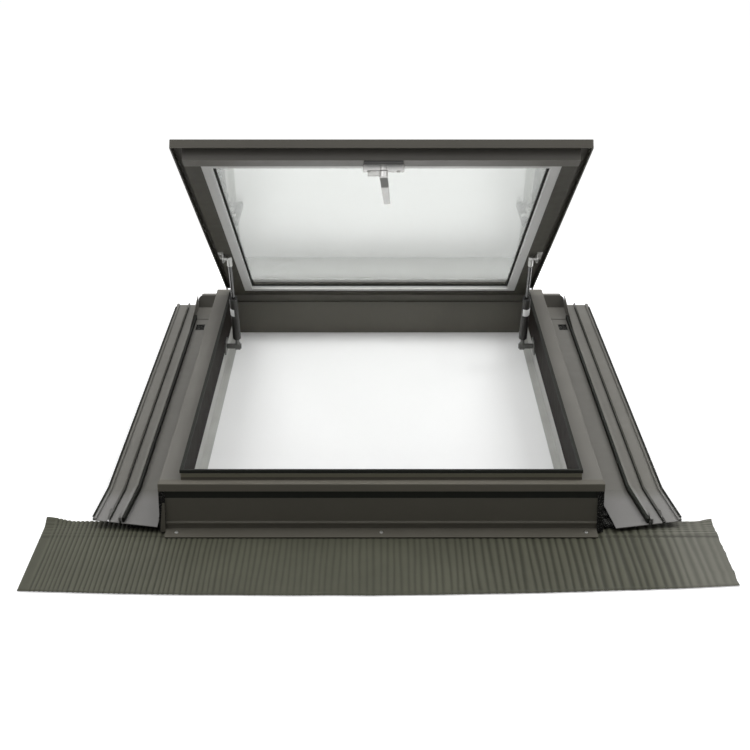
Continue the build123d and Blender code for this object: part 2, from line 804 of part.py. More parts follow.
def make_latch():
    """Pad and base plate on the lid, hub with pawl, collar and tapered handle."""
    bar = RectangleRounded(latch_plate_length, latch_plate_width, latch_plate_round)
    plate = extrude(bar, latch_plate_depth) + extrude(Circle(latch_boss_radius), latch_plate_depth)
    pad_half = latch_plate_length / 2 - latch_pad_inset
    pad_front = sash_front_out + latch_pad_inset - latch_y
    pad_back = latch_plate_width / 2 - latch_pad_inset
    pad = block(-pad_half, pad_half, pad_front, pad_back, latch_plate_depth, latch_plate_depth + latch_pad_depth)
    pad = fillet(pad.edges().filter_by(Axis.Z), latch_plate_round)
    plate -= Cylinder(spindle_radius + turn_clearance, 2 * latch_plate_depth + overrun)
    screw = extrude(Circle(latch_screw_head), latch_screw_rise)
    screw = fillet(screw.edges().sort_by(Axis.Z)[-1:], latch_screw_rise * screw_round_share)
    screws = [Pos(x, 0, 0) * Rot(180, 0, 0) * screw for x in (-latch_screw_place, latch_screw_place)]
    hub = Pos(0, 0, -hub_length) * extrude(Circle(hub_radius), hub_length - face_clearance)
    hub = fillet(hub.edges().filter_by(GeomType.CIRCLE), hub_round)
    hub += extrude(Circle(spindle_radius), latch_plate_depth - face_clearance)
    hub += Pos(0, 0, -face_clearance) * extrude(Circle(spindle_radius), face_clearance)
    pawl_tip_width = pawl_width * pawl_tip_share
    pawl = extrude(make_face(Polyline(
        (0, pawl_width / 2), (0, -pawl_width / 2), (-pawl_reach, -pawl_tip_width / 2),
        (-pawl_reach, pawl_tip_width / 2), close=True)), pawl_depth)
    pawl = Pos(0, 0, -hub_length + pawl_rise) * pawl
    tips = pawl.edges().filter_by(Axis.Z).group_by(Axis.X)[0]
    pawl = fillet(tips, pawl_nose_radius)
    pawl -= Pos(0, 0, -hub_length) * extrude(Circle(hub_radius + hub_fit), hub_length)
    arm = Pos(0, 0, -hub_length + collar_depth / 2) * Rot(-handle_tilt, 0, 0)
    collar_face = RectangleRounded(collar_width, collar_depth, collar_depth * collar_round_share)
    along = Plane(origin=(0, 0, 0), x_dir=(1, 0, 0), z_dir=(0, 1, 0))
    collar = arm * extrude(along * collar_face, collar_length + hub_radius)
    collar -= Pos(0, 0, -hub_length) * extrude(Circle(hub_radius + hub_fit), hub_length)
    collar -= Pos(0, 0, -hub_length / 2) * Box(2 * collar_width, 2 * hub_radius, 2 * hub_length + overrun,
                                             align=(Align.CENTER, Align.MAX, Align.CENTER))
    blade_start = collar_length + hub_radius
    root = Plane(origin=(0, blade_start, 0), x_dir=(1, 0, 0), z_dir=(0, 1, 0))
    tip = Plane(origin=(0, blade_start + blade_length, 0), x_dir=(1, 0, 0), z_dir=(0, 1, 0))
    blade = loft([
        root * RectangleRounded(blade_width, blade_depth, blade_round),
        tip * RectangleRounded(blade_tip_width, blade_tip_depth, blade_round),
    ])
    moving = [latch_placed(piece) for piece in (hub, pawl, collar, arm * blade)]
    fixed = [opened(Pos(latch_offset, latch_y, latch_low) * piece) for piece in [pad, plate] + screws]
    return fixed, moving


def make_keeper():
    """Angle on the front wall; the turned pawl hooks under its lip with the lid shut."""
    pawl_top = hub_low + pawl_rise + pawl_depth
    lip_low = pawl_top + keeper_gap
    outline = [
        (-end_in, lip_low - keeper_height),
        (-end_in, lip_low + keeper_plate),
        (-end_in + keeper_lip, lip_low + keeper_plate),
        (-end_in + keeper_lip, lip_low),
        (-end_in + keeper_plate, lip_low),
        (-end_in + keeper_plate, lip_low - keeper_height),
    ]
    return along_x(outline, latch_offset - keeper_width / 2, latch_offset + keeper_width / 2)


# Curb
save("curb_front", make_curb_front())
save("curb_rear", make_curb_rear())
curb_side = make_curb_side()
save("curb_right", curb_side)
save("curb_left", mirrored(curb_side))
foot = make_foot()
save("foot_right", foot)
save("foot_left", mirrored(foot))
save("corner_brackets", *make_corner_brackets())
save("rim_seal", make_rim_seal())
save("latch_keeper", make_keeper())

# Front cover, apron and flashing
save("front_cover", make_front_cover())
save("cover_screws", *make_cover_screws())
foam = make_foam()
save("corner_foam", foam, mirrored(foam))
save("apron", make_apron())
save("flashing_right", make_side_flashing(right_seam_place, right_hem_step, right_tip_lift, right_tip_skew,
                                          right_tip_flare, right_inner_flare))
save("flashing_left", mirrored(make_side_flashing(left_seam_place, left_hem_step, left_tip_lift, left_tip_skew,
                                                  left_tip_flare, left_inner_flare)))
save("flashing_head", make_head_flashing())

# Hinges
frame_leaf, hinge_pin, lid_leaf = make_hinge()
places = [Pos(x, 0, 0) for x in (-hinge_place, hinge_place)]
save("hinge_frame_leaves", *[place * frame_leaf for place in places])
save("hinge_pins", *[place * hinge_pin for place in places])
save("hinge_lid_leaves", *[place * lid_leaf for place in places])

# Lid
save("lid_cover", opened(make_lid_cover()))
save("sash_front", opened(hollow_bar(-sash_side_out, sash_side_out, sash_front_out, sash_front_in, "x")))
save("sash_rear", opened(hollow_bar(-sash_side_out, sash_side_out, sash_rear_in, sash_rear_out, "x")))
sash_side = opened(hollow_bar(sash_side_in, sash_side_out, sash_front_in, sash_rear_in, "y"))
save("sash_right", sash_side)
save("sash_left", mirrored(sash_side))
save("outer_pane", opened(block(-pane_side, pane_side, pane_front, pane_rear, outer_pane_low, outer_pane_top)))
save("inner_pane", opened(block(-pane_side, pane_side, pane_front, pane_rear, inner_pane_low, inner_pane_top)))
spacer_side = view_side + spacer_width
save("glass_spacer", opened(ring(spacer_side, view_front - spacer_width, view_rear + spacer_width,
                                 spacer_width, inner_pane_top, outer_pane_low)))
gasket_side = view_side + gasket_width
save("outer_gasket", opened(ring(gasket_side, view_front - gasket_width, view_rear + gasket_width,
                                 gasket_width, outer_pane_top, lid_under)))
save("inner_gasket", opened(ring(view_side + bead_plate, view_front - bead_plate, view_rear + bead_plate,
                                 bead_plate + inner_gasket_lip,
                                 inner_pane_low - inner_gasket_plate, inner_pane_low)))
cross_bead = make_bead(2 * sash_side_in, bead_reach)
save("bead_front", opened(Pos(0, sash_front_in, 0) * cross_bead))
save("bead_rear", opened(Pos(0, sash_rear_in, 0) * mirror(cross_bead, about=Plane.XZ)))
long_bead = make_bead(sash_rear_in - sash_front_in, bead_reach)
middle_y = (sash_rear_in + sash_front_in) / 2
bead_right = opened(Pos(sash_side_in, middle_y, 0) * Rot(0, 0, 90) * long_bead)
save("bead_right", bead_right)
save("bead_left", mirrored(bead_right))

# Gas struts
strut_names = ("strut_eye", "strut_tube", "strut_cap", "strut_rod", "strut_fitting")
for name, piece in zip(strut_names, make_strut()):
    save(f"{name}_right", piece)
    save(f"{name}_left", mirrored(piece))
frame_bracket, strut_pin = make_strut_frame_bracket()
save("strut_frame_brackets", frame_bracket, mirrored(frame_bracket))
save("strut_pins", strut_pin, mirrored(strut_pin))
lid_bracket = make_strut_lid_bracket()
save("strut_lid_brackets", lid_bracket, mirrored(lid_bracket))

# Latch
latch_fixed, latch_moving = make_latch()
save("latch_pad", latch_fixed[0])
save("latch_plate", latch_fixed[1])
save("latch_screws", *latch_fixed[2:])
for name, piece in zip(("latch_hub", "latch_pawl", "latch_collar", "latch_handle"), latch_moving):
    save(name, piece)

# Values for the joints, in the part's own frame
shut_lean = degrees(atan2(low_y - shut_y, shut_z - strut_low_height))
print("hinge axis y z", hinge_y, hinge_z)
print("strut pivot", strut_x, low_y, strut_low_height, "lean", strut_lean, "shut lean", shut_lean)
print("strut length open", strut_length, "shut", shut_length)
print("strut axis", 0, -sin(radians(strut_lean)), cos(radians(strut_lean)))
print("latch axis", 0, sin(open_turn), cos(open_turn))
latch_point = opened(Pos(latch_offset, latch_y, latch_low) * Box(lid_plate, lid_plate, lid_plate)).center()
print("latch place", latch_point)
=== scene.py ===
"""Roof skylight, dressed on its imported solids: curb, flashing, apron, glazed lid, gas struts and latch."""
import math
import random

import bmesh
import bpy
from mathutils import Matrix, Vector


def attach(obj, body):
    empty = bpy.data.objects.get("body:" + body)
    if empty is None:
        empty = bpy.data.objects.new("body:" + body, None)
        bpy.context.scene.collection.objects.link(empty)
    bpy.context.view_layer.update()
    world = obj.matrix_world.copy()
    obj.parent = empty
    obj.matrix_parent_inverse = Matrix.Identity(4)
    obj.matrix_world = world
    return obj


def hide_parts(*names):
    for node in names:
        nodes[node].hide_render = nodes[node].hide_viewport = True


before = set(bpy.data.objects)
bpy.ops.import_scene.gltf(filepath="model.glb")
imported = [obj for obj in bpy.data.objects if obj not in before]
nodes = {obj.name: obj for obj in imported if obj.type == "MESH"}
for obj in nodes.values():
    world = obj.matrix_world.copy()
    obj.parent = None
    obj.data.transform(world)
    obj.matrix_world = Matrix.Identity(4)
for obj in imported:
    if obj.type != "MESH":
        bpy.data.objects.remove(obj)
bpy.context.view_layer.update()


# The studio: a white sweep that runs out of sight behind the skylight, broad lamps overhead and high on both
# sides, two weak ones in front and an even white surround; the camera is at standing height before the apron.
def placed(name, data):
    """A new object with its data, linked to the scene."""
    piece = bpy.data.objects.new(name, data)
    bpy.context.scene.collection.objects.link(piece)
    return piece


def join(tree, start, end):
    """Join one node's output to another's input; each is given as (node, socket)."""
    tree.links.new(start[0].outputs[start[1]], end[0].inputs[end[1]])


def reckon(tree, operation, *values):
    """A Math node on sockets or numbers; returns its result socket."""
    node = tree.nodes.new("ShaderNodeMath")
    node.operation = operation
    for socket, value in zip(node.inputs, values):
        if isinstance(value, bpy.types.NodeSocket):
            tree.links.new(value, socket)
        else:
            socket.default_value = value
    return node.outputs[0]


def ramp(tree, value, low, high, start=0.0, end=1.0):
    """A smooth step of a value from start to end between two levels; returns its result socket."""
    node = tree.nodes.new("ShaderNodeMapRange")
    node.interpolation_type = "SMOOTHSTEP"
    for label, level in (("From Min", low), ("From Max", high), ("To Min", start), ("To Max", end)):
        node.inputs[label].default_value = level
    tree.links.new(value, node.inputs["Value"])
    return node.outputs["Result"]


def seen_as_background(tree):
    """A mask of 1 for rays that look at the surround: straight, mirrored or through glass."""
    path = tree.nodes.new("ShaderNodeLightPath")
    looks = reckon(tree, "MAXIMUM", path.outputs["Is Camera Ray"], path.outputs["Is Glossy Ray"])
    return reckon(tree, "MAXIMUM", looks, path.outputs["Is Transmission Ray"])


lens_data = bpy.data.cameras.new("camera")
lens_data.sensor_width = 36.0
lens_data.lens = 79.92
camera = placed("camera", lens_data)
camera.location = (-0.01107, -3.24325, 1.25837)
camera.rotation_euler = (math.radians(70.18), 0, 0)
bpy.context.scene.camera = camera
bpy.context.scene.view_settings.view_transform = "Standard"

world = bpy.data.worlds.new("surround")
bpy.context.scene.world = world
world.use_nodes = True
surround = world.node_tree.nodes["Background"]
surround.inputs["Color"].default_value = (1.0, 1.0, 1.0, 1.0)
surround_lit, surround_seen = 0.22, 1.0  # strengths as a light and as a background
world.node_tree.links.new(
    ramp(world.node_tree, seen_as_background(world.node_tree), 0.0, 1.0, surround_lit, surround_seen),
    surround.inputs["Strength"])

# Away from the curb the sweep's paint gives way to a glow that is only looked at, so it stays white there.
sweep_half_width, sweep_half_length = 0.40, 0.62  # the part of the sweep under the curb
sweep_near_shade, sweep_far_drop = 0.80, -0.76
sweep_paint = bpy.data.materials.new("sweep_paint")
sweep_paint.use_nodes = True
sweep_tree = sweep_paint.node_tree
sweep_base = sweep_tree.nodes["Principled BSDF"]
sweep_base.inputs["Roughness"].default_value = 0.9
sweep_base.inputs["Specular IOR Level"].default_value = 0.0
sweep_base.inputs["Emission Color"].default_value = (1.0, 1.0, 1.0, 1.0)
sweep_at = sweep_tree.nodes.new("ShaderNodeSeparateXYZ")
join(sweep_tree, (sweep_tree.nodes.new("ShaderNodeTexCoord"), "Object"), (sweep_at, 0))
sweep_offs = [reckon(sweep_tree, "SUBTRACT", reckon(sweep_tree, "ABSOLUTE", sweep_at.outputs[label]), half)
              for label, half in (("X", sweep_half_width), ("Y", sweep_half_length))]
sweep_reach = reckon(sweep_tree, "MAXIMUM", *sweep_offs)
sweep_far = ramp(sweep_tree, sweep_reach, 0.35, 0.80)
sweep_glow = reckon(sweep_tree, "MULTIPLY_ADD", ramp(sweep_tree, sweep_reach, 0.15, 0.45), 0.55,
                    ramp(sweep_tree, sweep_reach, -0.06, 0.12, 0.08, 0.45))
sweep_tree.links.new(reckon(sweep_tree, "MULTIPLY", seen_as_background(sweep_tree), sweep_glow),
                     sweep_base.inputs["Emission Strength"])
sweep_shade = sweep_tree.nodes.new("ShaderNodeCombineColor")
for socket in sweep_shade.inputs[:3]:
    shade = reckon(sweep_tree, "MULTIPLY_ADD", sweep_far, sweep_far_drop, sweep_near_shade)
    sweep_tree.links.new(shade, socket)
join(sweep_tree, (sweep_shade, 0), (sweep_base, "Base Color"))
sweep_low = -0.0006  # just under the roof plane
sweep_mesh = bpy.data.meshes.new("sweep")
sweep_corners = [(x, y, sweep_low) for x, y in ((-9, -6), (9, -6), (9, 14), (-9, 14))]
sweep_mesh.from_pydata(sweep_corners, [], [(0, 1, 2, 3)])
sweep_mesh.materials.append(sweep_paint)
sweep = placed("sweep", sweep_mesh)

lamp_aim = Vector((0, 0, 0.2))
for lamp_name, lamp_place, lamp_power, lamp_size in (
        ("key_lamp", (-2.2, -2.6, 3.6), 18.0, 2.6),
        ("side_lamp", (2.8, -1.6, 2.6), 8.0, 2.2),
        ("left_lamp", (-3.2, -0.2, 3.4), 56.0, 2.4),
        ("right_lamp", (3.2, -0.2, 3.4), 76.0, 2.4),
        ("top_lamp", (0.2, 0.1, 4.2), 72.0, 3.4)):
    lamp_data = bpy.data.lights.new(lamp_name, "AREA")
    lamp_data.energy = lamp_power
    lamp_data.size = lamp_size
    lamp = placed(lamp_name, lamp_data)
    lamp.location = lamp_place
    lamp.rotation_euler = (lamp_aim - Vector(lamp_place)).to_track_quat("-Z", "Y").to_euler()


# Curb: four extruded aluminium profiles, cut square, tied by angles at the corners and powder coated
# a dark umber grey. The coat is satin, slightly uneven, with a fine skin and a little settled dust. Light and
# shade are painted into it: the rear profile and the side profiles are painted paler as painted light, the
# side walls' inner faces are painted near black as painted shade, and the front rim is painted paler above
# the nose as painted light.
def new_group(name, given, made):
    """An empty shader group with named inputs (name, socket type, value) and outputs (name, socket type)."""
    tree = bpy.data.node_groups.new(name, "ShaderNodeTree")
    for label, kind, value in given:
        tree.interface.new_socket(label, in_out="INPUT", socket_type=kind).default_value = value
    for label, kind in made:
        tree.interface.new_socket(label, in_out="OUTPUT", socket_type=kind)
    return tree, tree.nodes.new("NodeGroupInput"), tree.nodes.new("NodeGroupOutput")


def noise(tree, place, scale, detail):
    """A noise texture on a place socket; returns its even grey value."""
    node = tree.nodes.new("ShaderNodeTexNoise")
    node.inputs["Detail"].default_value = detail
    tree.links.new(place, node.inputs["Vector"])
    if isinstance(scale, bpy.types.NodeSocket):
        tree.links.new(scale, node.inputs["Scale"])
    else:
        node.inputs["Scale"].default_value = scale
    return node.outputs["Fac"]


def blend_colours(tree, share, first, second):
    """A colour mix of two sockets or colours by a share socket or number; returns the colour socket."""
    node = tree.nodes.new("ShaderNodeMix")
    node.data_type = "RGBA"
    for socket, value in ((node.inputs[0], share), (node.inputs[6], first), (node.inputs[7], second)):
        if isinstance(value, bpy.types.NodeSocket):
            tree.links.new(value, socket)
        else:
            socket.default_value = value
    return node.outputs[2]


colour, number, direction = "NodeSocketColor", "NodeSocketFloat", "NodeSocketVector"
fleck_scale, fleck_gloss = 38.0, 0.16
powder_coat, coat_in, coat_out = new_group(
    "powder coat",
    (("Colour", colour, (0.12, 0.112, 0.098, 1)), ("Mottle", number, 0.16), ("Mottle Scale", number, 5.0),
     ("Roughness", number, 0.5), ("Skin Scale", number, 520.0),
     ("Dust Colour", colour, (0.3, 0.29, 0.27, 1)), ("Dust", number, 0.12)),
    (("Colour", colour), ("Roughness", number), ("Height", number)))
coat_place = powder_coat.nodes.new("ShaderNodeTexCoord").outputs["Object"]
coat_cloud = noise(powder_coat, coat_place, coat_in.outputs["Mottle Scale"], 5.0)
coat_skin = noise(powder_coat, coat_place, coat_in.outputs["Skin Scale"], 2.0)
coat_fleck = noise(powder_coat, coat_place, fleck_scale, 6.0)
coat_up = powder_coat.nodes.new("ShaderNodeSeparateXYZ")
powder_coat.links.new(powder_coat.nodes.new("ShaderNodeNewGeometry").outputs["Normal"], coat_up.inputs[0])
coat_level = reckon(powder_coat, "MAXIMUM", coat_up.outputs["Z"], 0.0)
coat_lie = reckon(powder_coat, "MULTIPLY", coat_level, coat_fleck)
coat_dust = reckon(powder_coat, "MULTIPLY", coat_lie, coat_in.outputs["Dust"])
coat_swing = reckon(powder_coat, "MULTIPLY", reckon(powder_coat, "SUBTRACT", coat_cloud, 0.5),
                    coat_in.outputs["Mottle"])
coat_tone = powder_coat.nodes.new("ShaderNodeHueSaturation")
powder_coat.links.new(reckon(powder_coat, "MULTIPLY_ADD", coat_swing, 2.0, 1.0), coat_tone.inputs["Value"])
join(powder_coat, (coat_in, "Colour"), (coat_tone, "Color"))
powder_coat.links.new(
    blend_colours(powder_coat, coat_dust, coat_tone.outputs[0], coat_in.outputs["Dust Colour"]),
    coat_out.inputs["Colour"])
coat_gloss = reckon(powder_coat, "MULTIPLY_ADD", reckon(powder_coat, "SUBTRACT", coat_fleck, 0.5),
                    fleck_gloss, coat_in.outputs["Roughness"])
powder_coat.links.new(reckon(powder_coat, "ADD", coat_gloss, coat_dust), coat_out.inputs["Roughness"])
powder_coat.links.new(coat_skin, coat_out.inputs["Height"])


def finish_of(name, group, skin_depth, values, **sockets):
    """A material whose colour, roughness and skin come from a finish group; other sockets are set plainly."""
    material = bpy.data.materials.new(name)
    material.use_nodes = True
    tree = material.node_tree
    shader = tree.nodes["Principled BSDF"]
    made = tree.nodes.new("ShaderNodeGroup")
    made.node_tree = group
    for label, value in values.items():
        made.inputs[label].default_value = value
    for label, value in sockets.items():
        shader.inputs[label.replace("_", " ")].default_value = value
    join(tree, (made, "Colour"), (shader, "Base Color"))
    join(tree, (made, "Roughness"), (shader, "Roughness"))
    relief = tree.nodes.new("ShaderNodeBump")
    relief.inputs["Strength"].default_value = 0.35
    relief.inputs["Distance"].default_value = skin_depth
    join(tree, (made, "Height"), (relief, "Height"))
    join(tree, (relief, "Normal"), (shader, "Normal"))
    return material


def coated(name, tint, roughness, dust, shine, skin_depth=0.0002, **values):
    """A finish of powder coat, or of plastic or rubber with such a skin."""
    values = {label.replace("_", " "): value for label, value in values.items()}
    values.update({"Colour": (*tint, 1), "Roughness": roughness, "Dust": dust})
    return finish_of(name, powder_coat, skin_depth, values, Specular_IOR_Level=shine)


def dress(material, *names):
    """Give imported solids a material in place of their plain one."""
    for name in names:
        nodes[name].data.materials.clear()
        nodes[name].data.materials.append(material)


def retint(material, source, operation, low, high, tint, inside=None):
    """Blend a finish towards a second colour where one part of a source's vector passes from low to high.

    The part first goes through a Math operation, given with its first value if it has one. With inside given,
    the blend reaches only as far out as that X on either side.
    """
    tree = material.node_tree
    shader = tree.nodes["Principled BSDF"]
    parts = tree.nodes.new("ShaderNodeSeparateXYZ")
    join(tree, (tree.nodes.new(source[0]), source[1]), (parts, 0))
    share = ramp(tree, reckon(tree, *operation, parts.outputs[source[2]]), low, high)
    if inside:
        place = tree.nodes.new("ShaderNodeSeparateXYZ")
        join(tree, (tree.nodes.new("ShaderNodeTexCoord"), "Object"), (place, 0))
        beside = reckon(tree, "ABSOLUTE", place.outputs["X"])
        share = reckon(tree, "MULTIPLY", share, ramp(tree, beside, inside, inside + 0.0005, 1.0, 0.0))
    tree.links.new(blend_colours(tree, share, shader.inputs["Base Color"].links[0].from_socket, tint),
                   shader.inputs["Base Color"])


curb_paint = coated("curb_paint", (0.112, 0.104, 0.090), roughness=0.52, dust=0.12, shine=0.22)
dress(curb_paint, "corner_brackets")
# Painted light: the rear profile is painted paler than the rest of the curb, for the light on its inner face.
rear_lit_paint = coated("rear_lit_paint", (0.150, 0.143, 0.122), roughness=0.52, dust=0.12, shine=0.22)
dress(rear_lit_paint, "curb_rear")
# Painted light and shade: the side profiles are painted paler than the curb for the light on their ledges,
# and their inner faces are painted near black as painted shade.
wall_lit_and_shaded_paint = coated("wall_lit_and_shaded_paint", (0.176, 0.170, 0.155), roughness=0.6, dust=0.14, shine=0.03)
wall_shade_reach = 0.3510  # just behind the side walls' inner faces
retint(wall_lit_and_shaded_paint, ("ShaderNodeNewGeometry", "Normal", "X"), ("ABSOLUTE",), 0.5, 0.9,
       (0.017, 0.014, 0.012, 1), inside=wall_shade_reach)
dress(wall_lit_and_shaded_paint, "curb_left", "curb_right")
front_paint = coated("front_paint", (0.108, 0.100, 0.080), roughness=0.52, dust=0.12, shine=0.22)
# Painted light: the rim's face above the nose is painted paler, for the light falling on it.
rim_lit_low, rim_lit_high = 0.0972, 0.0985
retint(front_paint, ("ShaderNodeTexCoord", "Object", "Z"), ("ADD", 0.0), rim_lit_low, rim_lit_high,
       (0.205, 0.200, 0.150, 1))
dress(front_paint, "curb_front")


# Foot strips: bare rolled aluminium under the side walls, screwed to the roof deck; the rolling leaves fine
# lines along their length. A low lining of the same sheet stands on each strip, against the wall, and is
# lower at the struts.
cloud_scale = 14.0
drawn_metal, drawn_in, drawn_out = new_group(
    "drawn metal",
    (("Colour", colour, (0.6, 0.6, 0.58, 1)), ("Grain", direction, (300.0, 4.0, 300.0)),
     ("Roughness", number, 0.35), ("Contrast", number, 0.3)),
    (("Colour", colour), ("Roughness", number), ("Height", number)))
drawn_place = drawn_metal.nodes.new("ShaderNodeVectorMath")
drawn_place.operation = "MULTIPLY"
join(drawn_metal, (drawn_metal.nodes.new("ShaderNodeTexCoord"), "Object"), (drawn_place, 0))
join(drawn_metal, (drawn_in, "Grain"), (drawn_place, 1))
drawn_lines = noise(drawn_metal, drawn_place.outputs[0], 1.0, 4.0)
drawn_spot = drawn_metal.nodes.new("ShaderNodeTexCoord").outputs["Object"]
drawn_cloud = noise(drawn_metal, drawn_spot, cloud_scale, 4.0)
drawn_half = reckon(drawn_metal, "MULTIPLY", drawn_lines, 0.5)
drawn_both = reckon(drawn_metal, "MULTIPLY_ADD", drawn_cloud, 0.5, drawn_half)
drawn_swing = reckon(drawn_metal, "MULTIPLY", reckon(drawn_metal, "SUBTRACT", drawn_both, 0.5),
                     drawn_in.outputs["Contrast"])
drawn_tone = drawn_metal.nodes.new("ShaderNodeHueSaturation")
drawn_metal.links.new(reckon(drawn_metal, "MULTIPLY_ADD", drawn_swing, 2.0, 1.0), drawn_tone.inputs["Value"])
join(drawn_metal, (drawn_in, "Colour"), (drawn_tone, "Color"))
join(drawn_metal, (drawn_tone, "Color"), (drawn_out, "Colour"))
drawn_metal.links.new(reckon(drawn_metal, "ADD", drawn_in.outputs["Roughness"], drawn_swing),
                      drawn_out.inputs["Roughness"])
drawn_metal.links.new(drawn_lines, drawn_out.inputs["Height"])


def drawn(name, tint, grain, roughness, metallic, skin_depth, contrast=0.3):
    """A finish of bare or plated metal; the grain is how close its lines lie along each axis."""
    values = {"Colour": (*tint, 1), "Grain": grain, "Roughness": roughness, "Contrast": contrast}
    return finish_of(name, drawn_metal, skin_depth, values, Metallic=metallic)


def level_ring(left, right, front, back, height, back_height=None):
    """Four corners of a rectangle, anticlockwise from above; its back edge may have another height."""
    rear = height if back_height is None else back_height
    return [(left, front, height), (right, front, height), (right, back, rear), (left, back, rear)]


def slabs(name, material, rings):
    """Four-sided slabs as one plain mesh, each between a lower and an upper ring of corners."""
    corners, faces = [], []
    for low, high in rings:
        first = len(corners)
        corners += [*low, *high]
        faces += [tuple(first + i for i in (3, 2, 1, 0)), tuple(first + i for i in (4, 5, 6, 7))]
        for side in range(4):
            after = (side + 1) % 4
            faces.append(tuple(first + i for i in (side, after, after + 4, side + 4)))
    mesh = bpy.data.meshes.new(name)
    mesh.from_pydata(corners, [], faces)
    mesh.materials.append(material)
    return placed(name, mesh)


foot_metal = drawn("foot_metal", (0.48, 0.48, 0.46), grain=(420.0, 6.0, 420.0), roughness=0.55,
                   metallic=0.1, skin_depth=0.0001)
dress(foot_metal, "foot_left", "foot_right")
lining_in, lining_out, lining_end = 0.3492, 0.3500, 0.5495
lining_foot, lining_top, lining_low_top = 0.0020, 0.0320, 0.0245
strut_front, strut_back = 0.3045, 0.3575  # the stretch under the struts' wall brackets
lining_rings = []
for side in (-1, 1):
    left, right = sorted((side * lining_in, side * lining_out))
    for front, back, top in ((-lining_end, strut_front, lining_top),
                             (strut_front, strut_back, lining_low_top),
                             (strut_back, lining_end, lining_top)):
        lining_rings.append([level_ring(left, right, front, back, height) for height in (lining_foot, top)])
wall_lining = slabs("wall_lining", foot_metal, lining_rings)
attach(wall_lining, "frame")


# Edge seal: a black rubber channel, pressed over the curb's rim and held by its own grip.
# The rubber is matt, with a faint bloom.
seal_rubber = coated("seal_rubber", (0.014, 0.015, 0.012), roughness=0.66, dust=0.03, shine=0.12,
                     Mottle=0.3, Skin_Scale=900.0)
dress(seal_rubber, "rim_seal")


# Front cover: a folded sheet that hangs under the nose, with a rounded rib and a sloping flange that three
# cross-headed screws hold. A black strip under the nose is painted shade, standing for the shade in the joint
# there. A tab is bent out at the cover's left end.
cover_paint = coated("cover_paint", (0.099, 0.093, 0.075), roughness=0.5, dust=0.06, shine=0.25)
dress(cover_paint, "front_cover")
# Painted shade: a black strip under the nose for the shade in the joint.
strip_half, strip_front, strip_back = 0.3785, -0.5752, -0.5740
strip_heights = (0.0682, 0.0829)
nose_seal = slabs("nose_seal", seal_rubber,
                  [[level_ring(-strip_half, strip_half, strip_front, strip_back, height)
                    for height in strip_heights]])
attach(nose_seal, "frame")
tab_right, tab_front, tab_back = -0.3793, -0.5805, -0.5788
tab_ends = ((-0.3890, 0.0050), (-0.3835, 0.0600))  # its left edge at its foot and at its top
cover_tab = slabs("cover_tab", cover_paint,
                  [[level_ring(left, tab_right, tab_front, tab_back, height) for left, height in tab_ends]])
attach(cover_tab, "frame")


def pan_head(name, radius, rise):
    """A screw head with a domed rim and a cross recess, its seat at the origin and its face towards +Z."""
    count = 32
    arm = radius * 0.62
    width = radius * 0.13
    angles = [math.tau * i / count for i in range(count)]
    cross = []
    for angle in angles:
        lean = abs((angle + math.pi / 4) % (math.pi / 2) - math.pi / 4)
        cross.append(arm / math.cos(lean) if math.tan(lean) <= width / arm else width / math.sin(lean))
    rings = [([radius] * count, 0.0), ([radius] * count, rise * 0.45), ([radius * 0.9] * count, rise * 0.85),
             ([radius * 0.72] * count, rise), (cross, rise), ([reach * 0.6 for reach in cross], rise * 0.3)]
    head = bmesh.new()
    loops = []
    for reaches, height in rings:
        loops.append([head.verts.new((reach * math.cos(angle), reach * math.sin(angle), height))
                      for reach, angle in zip(reaches, angles)])
    for low, high in zip(loops, loops[1:]):
        for i in range(count):
            j = (i + 1) % count
            head.faces.new((low[i], low[j], high[j], high[i]))
    head.faces.new(loops[-1])
    head.faces.new(loops[0][::-1])
    mesh = bpy.data.meshes.new(name)
    head.to_mesh(mesh)
    head.free()
    return placed(name, mesh)


def settled(piece):
    """Turn a piece's evaluated shape into its plain mesh and drop its modifiers."""
    shape = bpy.data.meshes.new_from_object(piece.evaluated_get(bpy.context.evaluated_depsgraph_get()))
    piece.modifiers.clear()
    piece.data = shape
    return piece


screw_steel = drawn("screw_steel", (0.42, 0.42, 0.40), grain=(900.0, 900.0, 900.0), roughness=0.36,
                    metallic=0.9, skin_depth=0.00005)
screw_tree = bpy.data.node_groups.new("screw run", "GeometryNodeTree")
screw_tree.interface.new_socket("Geometry", in_out="INPUT", socket_type="NodeSocketGeometry")
screw_inputs = (("Head", "NodeSocketObject"), ("Size", number), ("Seed", "NodeSocketInt"))
screw_sockets = {label: screw_tree.interface.new_socket(label, in_out="INPUT", socket_type=kind).identifier
                 for label, kind in screw_inputs}
screw_tree.interface.new_socket("Geometry", in_out="OUTPUT", socket_type="NodeSocketGeometry")
screw_in = screw_tree.nodes.new("NodeGroupInput")
screw_head = screw_tree.nodes.new("GeometryNodeObjectInfo")
join(screw_tree, (screw_in, "Head"), (screw_head, "Object"))
screw_facing = screw_tree.nodes.new("GeometryNodeInputNamedAttribute")
screw_facing.data_type = "FLOAT_VECTOR"
screw_facing.inputs["Name"].default_value = "facing"
screw_align = screw_tree.nodes.new("FunctionNodeAlignRotationToVector")
screw_align.axis = "Z"
join(screw_tree, (screw_facing, 0), (screw_align, "Vector"))
screw_turn = screw_tree.nodes.new("FunctionNodeRandomValue")
screw_turn.data_type = "FLOAT_VECTOR"
screw_turn.inputs[0].default_value = (0, 0, 0)
screw_turn.inputs[1].default_value = (0, 0, math.pi)
join(screw_tree, (screw_in, "Seed"), (screw_turn, "Seed"))
screw_spin = screw_tree.nodes.new("FunctionNodeRotateRotation")
screw_spin.rotation_space = "LOCAL"
join(screw_tree, (screw_align, 0), (screw_spin, "Rotation"))
join(screw_tree, (screw_turn, 0), (screw_spin, "Rotate By"))
screw_set = screw_tree.nodes.new("GeometryNodeInstanceOnPoints")
